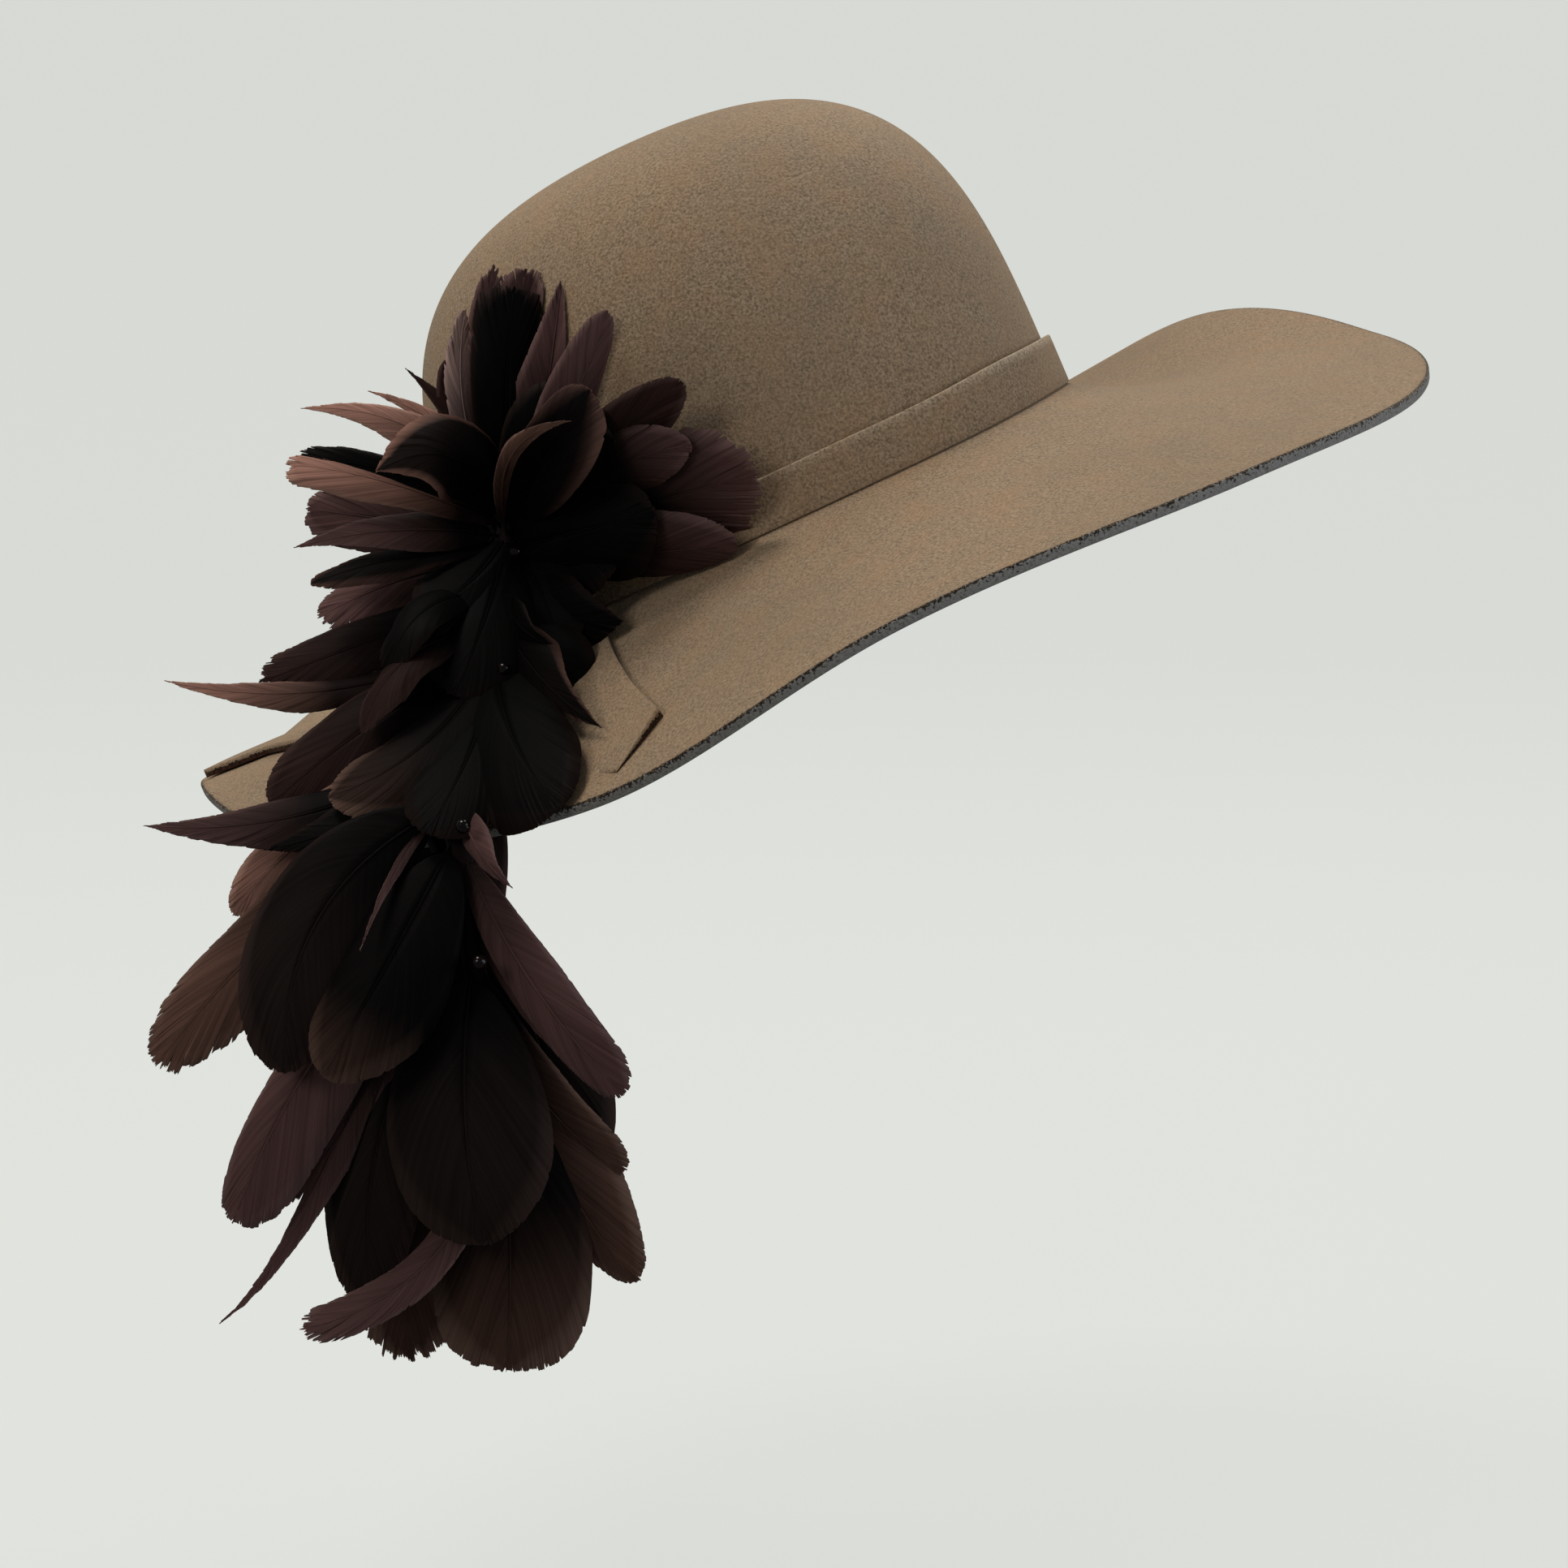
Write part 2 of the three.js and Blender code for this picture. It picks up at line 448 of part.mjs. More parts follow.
function stemSolid() {
  const sides = 6;
  const rings = STEM.map((row) => {
    const centre = fromLayout(row);
    return Array.from({ length: sides }, (_, i) => centre.clone()
      .addScaledVector(layoutRight, STEM_RADIUS * Math.cos((2 * Math.PI * i) / sides))
      .addScaledVector(layoutOut, STEM_RADIUS * Math.sin((2 * Math.PI * i) / sides)));
  });
  return solidThrough([[fromLayout(STEM[0])], ...rings, [fromLayout(STEM[STEM.length - 1])]]);
}

// All feathers, the stem and its pads as one body that clears the felt and the beads
function cascade() {
  let body = stemSolid();
  for (const pad of PADS) body = body.add(ball(fromLayout(pad), pad.radius, 8, 6));
  for (const row of FEATHERS) body = body.add(feather(row));
  const neighbours = [feltShell(GAP, true), band(GAP), tie(GAP)];
  for (const bead of BEADS) {
    neighbours.push(ball(fromLayout(bead), BEAD_RADIUS + GAP, BEAD_SIDES, BEAD_RINGS));
  }
  for (const neighbour of neighbours) body = body.subtract(neighbour);
  const pieces = body.simplify(SMALLEST_DETAIL).decompose();
  pieces.sort((a, b) => b.volume() - a.volume());
  return pieces[0];
}

function meshOf(name, solid, finish) {
  const data = solid.getMesh();
  const geometry = new THREE.BufferGeometry();
  geometry.setAttribute('position', new THREE.BufferAttribute(new Float32Array(data.vertProperties), 3));
  geometry.setIndex(new THREE.BufferAttribute(new Uint32Array(data.triVerts), 1));
  geometry.computeVertexNormals();
  const mesh = new THREE.Mesh(geometry, new THREE.MeshStandardMaterial(finish));
  mesh.name = name;
  return mesh;
}

const TAN_FELT = { color: 0x8b7862, roughness: 0.95, metalness: 0 };
const DYED_FEATHER = { color: 0x2a1a1c, roughness: 0.6, metalness: 0, flatShading: true };
const DARK_GLASS = { color: 0x1c0b0a, roughness: 0.12, metalness: 0 };

const group = new THREE.Group();
group.add(meshOf('felt_hat', feltShell(0, false), TAN_FELT));
group.add(meshOf('hat_band', band(0), TAN_FELT));
group.add(meshOf('felt_tie', tie(0), TAN_FELT));
group.add(meshOf('feather_cascade', cascade(), DYED_FEATHER));
for (const bead of BEADS) {
  group.add(meshOf(bead.name, ball(fromLayout(bead), BEAD_RADIUS, BEAD_SIDES, BEAD_RINGS), DARK_GLASS));
}

export default group;
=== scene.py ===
"""Wide-brimmed felt hat with a hanging cascade of dyed goose feathers, in soft studio light.

The hat keeps the tilt that it is worn with. Sizes are in millimetres until a mesh is made, +Z is
up, the wearer faces -Y and the wearer's right is -X. The origin is the middle of the head opening.
"""
import logging
import math
from dataclasses import astuple, dataclass, field
from enum import Enum
from typing import Any, Dict, List, Optional, Sequence, Tuple

import bpy
import numpy as np
from mathutils import Matrix, Vector


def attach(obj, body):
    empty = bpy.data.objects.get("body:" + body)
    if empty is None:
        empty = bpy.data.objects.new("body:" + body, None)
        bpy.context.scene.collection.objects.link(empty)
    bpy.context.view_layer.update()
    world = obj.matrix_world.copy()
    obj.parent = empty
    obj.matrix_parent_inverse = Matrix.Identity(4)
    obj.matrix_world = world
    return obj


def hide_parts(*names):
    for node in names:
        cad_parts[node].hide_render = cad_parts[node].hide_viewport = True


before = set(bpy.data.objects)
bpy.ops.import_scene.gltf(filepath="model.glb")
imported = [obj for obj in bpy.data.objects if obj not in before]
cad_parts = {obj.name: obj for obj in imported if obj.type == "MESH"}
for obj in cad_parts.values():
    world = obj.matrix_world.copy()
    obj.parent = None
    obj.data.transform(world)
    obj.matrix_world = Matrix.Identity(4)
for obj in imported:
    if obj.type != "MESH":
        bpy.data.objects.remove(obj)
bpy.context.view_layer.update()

LOG = logging.getLogger("feathered_hat")

MM = 0.001
BODY = "root"
Array = np.ndarray
Material = bpy.types.Material
Object = bpy.types.Object
Socket = bpy.types.NodeSocket
Tree = bpy.types.NodeTree
Faces = List[Tuple[int, ...]]
Column = Tuple[float, ...]
Triple = Tuple[float, float, float]


def linear(hex_colour: str) -> Tuple[float, float, float, float]:
    """Turn an sRGB hex colour into linear red, green, blue and alpha.

    Args:
        hex_colour: six hex digits, with or without a leading hash.

    Returns:
        Linear channels from 0 to 1, with alpha 1.
    """
    digits = hex_colour.lstrip("#")
    channels = [int(digits[i:i + 2], 16) / 255 for i in (0, 2, 4)]
    bent = [c / 12.92 if c <= 0.04045 else ((c + 0.055) / 1.055) ** 2.4 for c in channels]
    return (bent[0], bent[1], bent[2], 1.0)


def add_node(
    tree: Tree, kind: str, settings: Optional[Dict[str, Any]] = None, inputs: Optional[Dict[Any, Any]] = None,
) -> bpy.types.Node:
    """Add a node with its settings and links.

    Args:
        tree: the node tree that it goes into.
        kind: the node's type name.
        settings: properties of the node.
        inputs: socket name or number to a value, or to the output that feeds it.

    Returns:
        The new node.
    """
    node = tree.nodes.new(kind)
    for name, value in (settings or {}).items():
        setattr(node, name, value)
    for key, value in (inputs or {}).items():
        socket = node.inputs[key]
        if isinstance(value, Socket):
            tree.links.new(value, socket)
        else:
            socket.default_value = value
    return node


def rotation(axis: str, degrees: float) -> Array:
    """Give the 3 by 3 matrix of a turn about one axis."""
    return np.array(Matrix.Rotation(math.radians(degrees), 3, axis))


def slow_random(count: int, pitch: int, rng: np.random.Generator) -> Array:
    """Give random numbers from 0 to 1 that drift, with a fresh one every `pitch` places."""
    knots = rng.random(count // pitch + 2)
    return np.interp(np.arange(count) / pitch, np.arange(len(knots)), knots)


@dataclass(frozen=True)
class WornTilt:
    """How the hat leans on the head, in degrees about each axis."""

    about_y: float = -19.4
    about_x: float = -14.8
    about_z: float = 8.8

    def matrix(self) -> Array:
        """Give the turn from the hat's upright frame to the worn one."""
        return rotation("Y", self.about_y) @ rotation("X", self.about_x) @ rotation("Z", self.about_z)


@dataclass(frozen=True)
class Layout:
    """The frame that the feathers are laid out in, facing the hat's front right quarter."""

    turn: float = -30.0
    rise: float = 8.0

    def axes(self) -> Array:
        """Find the three ways that feathers are measured along.

        Returns:
            Rows for right, up and out in the worn frame.
        """
        turn = math.radians(self.turn)
        rise = math.radians(self.rise)
        out = np.array([math.sin(turn) * math.cos(rise), -math.cos(turn) * math.cos(rise), math.sin(rise)])
        right = np.array([math.cos(turn), math.sin(turn), 0.0])
        return np.array([right, np.cross(out, right), out])

    def place(self, right: float, up: float, out: float) -> Array:
        """Turn layout distances into a point of the worn frame."""
        return np.array([right, up, out]) @ self.axes()


TILT = WornTilt().matrix()
LAYOUT = Layout()


def link_object(name: str, data: bpy.types.ID) -> Object:
    """Make an object and link it to the scene.

    Args:
        name: the object's name.
        data: its mesh, lamp or camera.

    Returns:
        The object.
    """
    thing = bpy.data.objects.new(name, data)
    bpy.context.scene.collection.objects.link(thing)
    return thing


def new_object(
    name: str, points: Array, faces: Sequence[Sequence[int]], material: Material,
    values: Optional[Dict[str, Array]] = None, smooth: bool = True,
) -> Object:
    """Make a mesh object in the worn frame.

    Args:
        name: the piece's name.
        points: vertices in millimetres, in the worn frame.
        faces: vertex numbers of each face.
        material: its finish.
        values: attribute name to one number, or one colour, for each vertex.
        smooth: whether its faces are shaded smooth.

    Returns:
        The object, linked to the scene.
    """
    mesh = bpy.data.meshes.new(name)
    mesh.from_pydata((points * MM).tolist(), [], [list(face) for face in faces])
    mesh.validate()
    mesh.polygons.foreach_set("use_smooth", [smooth] * len(mesh.polygons))
    mesh.materials.append(material)
    for key, numbers in (values or {}).items():
        wide = numbers.ndim == 2
        layer = mesh.attributes.new(key, "FLOAT_COLOR" if wide else "FLOAT", "POINT")
        layer.data.foreach_set("color" if wide else "value", numbers.astype(np.float32).ravel())
    mesh.update()
    return link_object(name, mesh)


def ring_angles(around: int) -> Array:
    """Give even angles once round a circle, in degrees."""
    return np.arange(around) * 360.0 / around


def circle(around: int, one: Array, other: Array) -> Array:
    """Give points round the unit circle that two ways at right angles span."""
    turn = np.radians(ring_angles(around))[:, None]
    return np.cos(turn) * one + np.sin(turn) * other


def ring_faces(rings: int, around: int, loop: bool = False, caps: bool = False, first: int = 0) -> Faces:
    """List the faces that join rings of points which each close on themselves.

    Args:
        rings: how many rings there are.
        around: points on each ring.
        loop: whether the last ring joins the first.
        caps: whether one face closes the first ring and another one the last.
        first: number of the first point.

    Returns:
        Faces as vertex numbers.
    """
    faces = []
    for r in range(rings if loop else rings - 1):
        here = first + r * around
        there = first + ((r + 1) % rings) * around
        for i in range(around):
            j = (i + 1) % around
            faces.append((here + i, here + j, there + j, there + i))
    if caps:
        last = first + (rings - 1) * around
        faces.append(tuple(range(first, first + around))[::-1])
        faces.append(tuple(range(last, last + around)))
    return faces


def finish_piece(thing: Object, nodes: Sequence[str]) -> Object:
    """Fasten a finished piece to the body and hide the parts that it stands for.

    Args:
        thing: the piece.
        nodes: the nodes that it stands for.

    Returns:
        The same piece.
    """
    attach(thing, BODY)
    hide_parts(*nodes)
    LOG.info("%s: %d faces", thing.name, len(thing.data.polygons))
    return thing


@dataclass(frozen=True)
class Finish:
    """A material, whose nodes each kind of finish lays out in its own way."""

    name: str

    def build(self) -> Material:
        """Make the material.

        Returns:
            The material with its nodes.
        """
        material = bpy.data.materials.new(self.name)
        material.use_nodes = True
        tree = material.node_tree
        tree.nodes.clear()
        add_node(tree, "ShaderNodeOutputMaterial", inputs={"Surface": self.surface(tree)})
        return material

    def surface(self, tree: Tree) -> Socket:
        """Lay out the nodes and give the output that carries the surface."""
        raise NotImplementedError


@dataclass(frozen=True)
class WoolFelt(Finish):
    """Blocked and brushed wool felt.

    Its short nap gives the eye a soft, matt face with a grain of light and dark fibres, and a pale
    sheen where the surface turns away. The cut edge and the underside are dyed darker. A pale
    highlight is painted along the band's top edge, and a dark line of shade is painted where a face
    turns down into its cut edge. Each span tells where in its pattern a colour sets in, where it is
    full and how strong it is there.
    """

    name: str = "brushed wool felt, camel"
    pale: str = "#b1997d"
    deep: str = "#6c5b47"
    blush: str = "#a8825d"
    cool: str = "#807260"
    dyed: str = "#6e6c67"
    dyed_pale: str = "#93908a"
    # Colour of the painted shade along the corner where a face turns down into its cut edge
    corner_shade: str = "#2a221b"
    # Tint of the sheen, and colour of the pale highlight painted along the band's top edge
    sheen_and_highlight: str = "#c9b8a0"
    nap_mm: float = 0.78
    fibre_mm: float = 0.5
    mottle_mm: float = 12.0
    drift_mm: float = 60.0
    nap_span: Triple = (0.3, 0.7, 1.0)
    blush_span: Triple = (0.42, 0.75, 0.35)
    cool_span: Triple = (0.45, 0.7, 0.3)
    corner_shade_span: Triple = (1.14, 1.22, 1.0)
    dye_span: Triple = (1.45, 1.55, 1.0)
    dye_carried: float = 1.6
    fibre_height: float = 0.6
    bump: float = 0.7
    bump_mm: float = 0.4
    roughness: float = 0.94
    specular: float = 0.15
    sheen: float = 0.25

    def surface(self, tree: Tree) -> Socket:
        """Lay out the nodes.

        They read two attributes: `dye`, 0 on the camel face and 1 on the dark side, and one that is 1
        where a pale highlight is painted along the band's top edge.

        Args:
            tree: the node tree that they go into.

        Returns:
            The output that carries the surface.
        """
        place = add_node(tree, "ShaderNodeTexCoord").outputs["Object"]
        # The tufts of the nap are about 0.3 mm across, drawn coarser here so that they show
        nap, fibre, mottle, drift = [
            add_node(tree, "ShaderNodeTexNoise", inputs={
                "Vector": place, "Scale": 1 / (size * MM), "Detail": detail, "Roughness": 0.6}).outputs["Fac"]
            for size, detail in (
                (self.nap_mm, 3.0), (self.fibre_mm, 2.0), (self.mottle_mm, 3.0), (self.drift_mm, 2.0))
        ]
        dye, highlight_lip = [
            add_node(tree, "ShaderNodeAttribute", {"attribute_name": name}).outputs["Fac"]
            for name in ("dye", "highlight_lip")
        ]
        # Loose fibres carry the dye across the cut, so the two colours part along a jagged border; the dark
        # line along it is painted shade where the face turns down into the cut edge
        carried = add_node(tree, "ShaderNodeMath", {"operation": "MULTIPLY_ADD"}, {
            0: nap, 1: self.dye_carried, 2: dye}).outputs[0]
        nap_share, blush_share, cool_share, corner_shade_share, dye_share = [
            add_node(tree, "ShaderNodeMapRange", inputs={
                "Value": value, "From Min": low, "From Max": high, "To Max": top}).outputs["Result"]
            for value, (low, high, top) in (
                (nap, self.nap_span), (mottle, self.blush_span), (drift, self.cool_span),
                (carried, self.corner_shade_span), (carried, self.dye_span))
        ]
        # Painted highlight along the band's top edge, broken by the nap
        highlight_share = add_node(tree, "ShaderNodeMath", {"operation": "MULTIPLY"}, {
            0: highlight_lip, 1: nap_share}).outputs[0]
        dark = add_node(tree, "ShaderNodeMix", {"data_type": "RGBA"}, {
            0: nap_share, 6: linear(self.dyed), 7: linear(self.dyed_pale)}).outputs[2]
        felt: Any = linear(self.deep)
        # Two of these mixes paint light: a pale highlight along the band's top edge and a dark line of shade
        # at the cut edge's corner
        for share, colour in (
            (nap_share, linear(self.pale)), (blush_share, linear(self.blush)),
            (cool_share, linear(self.cool)), (highlight_share, linear(self.sheen_and_highlight)),
            (corner_shade_share, linear(self.corner_shade)), (dye_share, dark),
        ):
            felt = add_node(tree, "ShaderNodeMix", {"data_type": "RGBA"}, {
                0: share, 6: felt, 7: colour}).outputs[2]
        height = add_node(tree, "ShaderNodeMath", {"operation": "MULTIPLY_ADD"}, {
            0: fibre, 1: self.fibre_height, 2: nap}).outputs[0]
        bump = add_node(tree, "ShaderNodeBump", inputs={
            "Height": height, "Strength": self.bump, "Distance": self.bump_mm * MM}).outputs["Normal"]
        return add_node(tree, "ShaderNodeBsdfPrincipled", inputs={
            "Base Color": felt, "Normal": bump, "Roughness": self.roughness,
            "Specular IOR Level": self.specular, "Sheen Weight": self.sheen, "Sheen Roughness": 0.5,
            "Sheen Tint": linear(self.sheen_and_highlight)}).outputs["BSDF"]


@dataclass(frozen=True)
class GooseFeather(Finish):
    """Dyed goose feather.

    Its barbs lie side by side like combed hair, so the vane has a silky sheen across fine lines,
    and light that comes from behind glows warm through it.
    """

    name: str = "dyed goose feather"
    silk: str = "#7d625a"
    barb_mm: float = 0.9
    streak_mm: float = 4.5
    barb_depth: float = 0.7
    streak_depth: float = 0.5
    darkest: float = 0.42
    bump: float = 0.3
    bump_mm: float = 0.2
    roughness: float = 0.58
    specular: float = 0.04
    sheen: float = 0.02
    glow: float = 0.25

    def surface(self, tree: Tree) -> Socket:
        """Lay out the nodes.

        They read the attributes `plume`, the dyed colour, `barb`, the place along the feather, and
        `across`, the place from the shaft to the vane's edge.

        Args:
            tree: the node tree that they go into.

        Returns:
            The output that carries the surface.
        """
        plume = add_node(tree, "ShaderNodeAttribute", {"attribute_name": "plume"}).outputs["Color"]
        barb, across = [
            add_node(tree, "ShaderNodeAttribute", {"attribute_name": name}).outputs["Fac"]
            for name in ("barb", "across")
        ]
        line = add_node(tree, "ShaderNodeCombineXYZ", inputs={"X": barb, "Y": across}).outputs[0]
        # The barbs' own pitch is about 0.4 mm, drawn coarser here so that it shows
        comb, streak = [
            add_node(tree, "ShaderNodeTexNoise", {"noise_dimensions": "2D"}, {
                "Vector": add_node(tree, "ShaderNodeVectorMath", {"operation": "MULTIPLY"}, {
                    0: line, 1: (1 / pitch, stretch, 0.0)}).outputs[0],
                "Scale": 1.0, "Detail": 3.0, "Roughness": 0.65}).outputs["Fac"]
            for pitch, stretch in ((self.barb_mm, 0.04), (self.streak_mm, 0.06))
        ]
        shade: Any = self.darkest
        for pattern, depth in ((comb, self.barb_depth), (streak, self.streak_depth)):
            shade = add_node(tree, "ShaderNodeMath", {"operation": "MULTIPLY_ADD"}, {
                0: pattern, 1: depth, 2: shade}).outputs[0]
        colour = add_node(tree, "ShaderNodeVectorMath", {"operation": "SCALE"}, {
            0: plume, "Scale": shade}).outputs[0]
        bump = add_node(tree, "ShaderNodeBump", inputs={
            "Height": comb, "Strength": self.bump, "Distance": self.bump_mm * MM}).outputs["Normal"]
        face = add_node(tree, "ShaderNodeBsdfPrincipled", inputs={
            "Base Color": colour, "Normal": bump, "Roughness": self.roughness,
            "Specular IOR Level": self.specular, "Sheen Weight": self.sheen, "Sheen Roughness": 0.4,
            "Sheen Tint": linear(self.silk)}).outputs["BSDF"]
        through = add_node(tree, "ShaderNodeBsdfTranslucent", inputs={
            "Color": colour, "Normal": bump}).outputs["BSDF"]
        return add_node(tree, "ShaderNodeMixShader", inputs={0: self.glow, 1: face, 2: through}).outputs[0]


@dataclass(frozen=True)
class FacetedGlass(Finish):
    """Pressed and polished glass bead: almost black, with a red glow painted at its rim and hard small
    glints.
    """

    name: str = "pressed glass, garnet"
    body: str = "#0c0303"
    # Colour of the red glow painted towards the rim
    depth: str = "#120605"
    rim_width: float = 0.35
    roughness: float = 0.04
    specular: float = 0.2

    def surface(self, tree: Tree) -> Socket:
        """Lay out the nodes, with red painted into the colour towards the rim, for light through the thin
        glass there.

        Args:
            tree: the node tree that they go into.

        Returns:
            The output that carries the surface.
        """
        # Painted glow: the colour turns redder towards the rim
        rim = add_node(tree, "ShaderNodeLayerWeight", inputs={"Blend": self.rim_width}).outputs["Facing"]
        colour = add_node(tree, "ShaderNodeMix", {"data_type": "RGBA"}, {
            0: rim, 6: linear(self.body), 7: linear(self.depth)}).outputs[2]
        return add_node(tree, "ShaderNodeBsdfPrincipled", inputs={
            "Base Color": colour, "Roughness": self.roughness,
            "Specular IOR Level": self.specular}).outputs["BSDF"]


@dataclass(frozen=True)
class StudioPaper(Finish):
    """Rolled background paper: flat and pale, lit evenly from behind."""

    name: str = "background paper, pale grey"
    paper: str = "#5a5c5a"
    glow: str = "#d8dad5"
    glow_strength: float = 0.95
    roughness: float = 0.9
    specular: float = 0.1

    def surface(self, tree: Tree) -> Socket:
        """Lay out the nodes.

        Args:
            tree: the node tree that they go into.

        Returns:
            The output that carries the surface.
        """
        return add_node(tree, "ShaderNodeBsdfPrincipled", inputs={
            "Base Color": linear(self.paper), "Roughness": self.roughness,
            "Specular IOR Level": self.specular, "Emission Color": linear(self.glow),
            "Emission Strength": self.glow_strength}).outputs["BSDF"]


@dataclass(frozen=True)
class HatForm:
    """The surface that the felt was blocked to, in the hat's upright frame.

    `droop` in degrees, `width` and `roll` tell the brim's shape at every 30 degrees round the hat,
    from its front. `roll` is how high the felt curves up where it meets the crown. The numbers from
    `top_share` to `deepest` bound what `keep_outside` moves.
    """

    half_width: float = 85.5
    half_length: float = 101.5
    crown_height: float = 119.9
    fullness: float = 3.81
    rounding: float = 2.66
    taper: float = 0.007
    lean_side: float = 2.7
    roll_reach: float = 0.35
    top_share: float = 0.98
    least_size: float = 0.05
    brim_margin: float = 2.0
    deepest: float = 16.0
    droop: Column = (19.0, 20.0, 11.5, -4.0, -1.5, -3.5, -9.0, -1.0, 0.5, 18.0, 27.0, 18.5)
    width: Column = (102.5, 103.5, 102.0, 100.0, 99.5, 100.5, 101.5, 100.5, 97.5, 95.0, 95.5, 99.0)
    roll: Column = (3.0, 5.4, 6.2, 6.0, 4.5, 3.0, 2.0, 2.0, 2.0, 1.5, 1.5, 1.8)

    def brim_value(self, column: str, angle: Array) -> Array:
        """Read the brim's shape at any angle, on a smooth closed curve through the values given.

        Args:
            column: `droop`, `width` or `roll`.
            angle: degrees round the hat.

        Returns:
            The value at each angle.
        """
        table = np.array(getattr(self, column))
        turn = np.mod(angle, 360) / 360 * len(table)
        row = np.floor(turn).astype(int)
        t = turn - row
        a, b, c, d = [table[(row + k) % len(table)] for k in (-1, 0, 1, 2)]
        square = 2 * a - 5 * b + 4 * c - d
        cube = 3 * b - a - 3 * c + d
        return 0.5 * (2 * b + (c - a) * t + square * t ** 2 + cube * t ** 3)

    def foot(self, angle: Array) -> Tuple[Array, Array]:
        """Find the foot of the crown.

        Args:
            angle: degrees round the hat.

        Returns:
            The foot and the level way out from it at each angle.
        """
        a = np.radians(angle)
        foot = np.stack([self.half_width * np.sin(a), -self.half_length * np.cos(a), 0 * a], -1)
        away = np.stack([np.sin(a) / self.half_width, -np.cos(a) / self.half_length, 0 * a], -1)
        return foot, away / np.linalg.norm(away, axis=-1, keepdims=True)

    def reach(self, share: Array) -> Array:
        """Give the crown's size, as a share of its foot, at a share of its height."""
        full = np.clip(1 - np.clip(share, 0, 1) ** self.fullness, 0, None) ** (1 / self.rounding)
        return full * (1 - self.taper * share)

    def crown(self, angle: Array, share: Array, grow: float) -> Array:
        """Find points of the crown.

        Args:
            angle: degrees round the hat.
            share: height as a share of the crown's.
            grow: how far the points are set out from the felt's outer face.

        Returns:
            The points in the hat's upright frame.
        """
        a = np.radians(angle)
        size = self.reach(share)
        return np.stack([
            (self.half_width + grow) * np.sin(a) * size + self.lean_side * share,
            -(self.half_length + grow) * np.cos(a) * size,
            (self.crown_height + grow) * share + 0 * a,
        ], -1)

    def rolled(self, angle: Array, out: Array) -> Array:
        """Give how high the felt curves up near the crown, at a share of the brim's width."""
        return self.brim_value("roll", angle) * np.clip(1 - out / self.roll_reach, 0, None) ** 2

    def brim(self, angle: Array, out: Array, lift: Array) -> Array:
        """Find points of the brim.

        Args:
            angle: degrees round the hat.
            out: place across the brim as a share of its width.
            lift: how far the points are lifted square to the felt.

        Returns:
            The points in the hat's upright frame.
        """
        foot, away = self.foot(angle)
        droop = np.radians(self.brim_value("droop", angle))
        along = self.brim_value("width", angle) * out
        level = along * np.cos(droop) + lift * np.sin(droop)
        height = self.rolled(angle, out) - along * np.sin(droop) + lift * np.cos(droop)
        return foot + away * level[..., None] + np.stack([0 * height, 0 * height, height], -1)

    def keep_outside(self, points: Array, clear: float) -> Array:
        """Move points that lie in the felt or the head hollow out to the felt's outer side.

        Args:
            points: places in the worn frame.
            clear: the least distance from the felt.

        Returns:
            The places, moved where they have to be.
        """
        local = points @ TILT
        share = np.clip(local[:, 2] / self.crown_height, 0, self.top_share)
        size = np.maximum(self.reach(share), self.least_size)
        shift = np.stack([self.lean_side * share, 0 * share], -1)
        flat = local[:, :2] - shift
        wide = np.array([self.half_width + clear, self.half_length + clear])
        depth = np.linalg.norm(flat / wide / size[:, None], axis=1)
        in_crown = (depth < 1) & (local[:, 2] > 0) & (local[:, 2] < self.crown_height)
        local[in_crown, :2] = (flat / np.maximum(depth, self.least_size)[:, None] + shift)[in_crown]
        angle = np.degrees(np.arctan2(local[:, 0] / self.half_width, -local[:, 1] / self.half_length))
        foot, away = self.foot(angle)
        beyond = np.einsum("ij,ij->i", (local - foot)[:, :2], away[:, :2])
        droop = np.radians(self.brim_value("droop", angle))
        width = self.brim_value("width", angle) * np.cos(droop)
        rolled = self.rolled(angle, np.clip(beyond / width, 0, None))
        surface = rolled - beyond * np.tan(droop) + clear / np.cos(droop)
        below = surface - local[:, 2]
        on_brim = (beyond > -self.brim_margin) & (beyond < width + self.brim_margin)
        on_brim = on_brim & (below > 0) & (below < self.deepest)
        local[on_brim, 2] = surface[on_brim]
        return local @ TILT.T


FORM = HatForm()


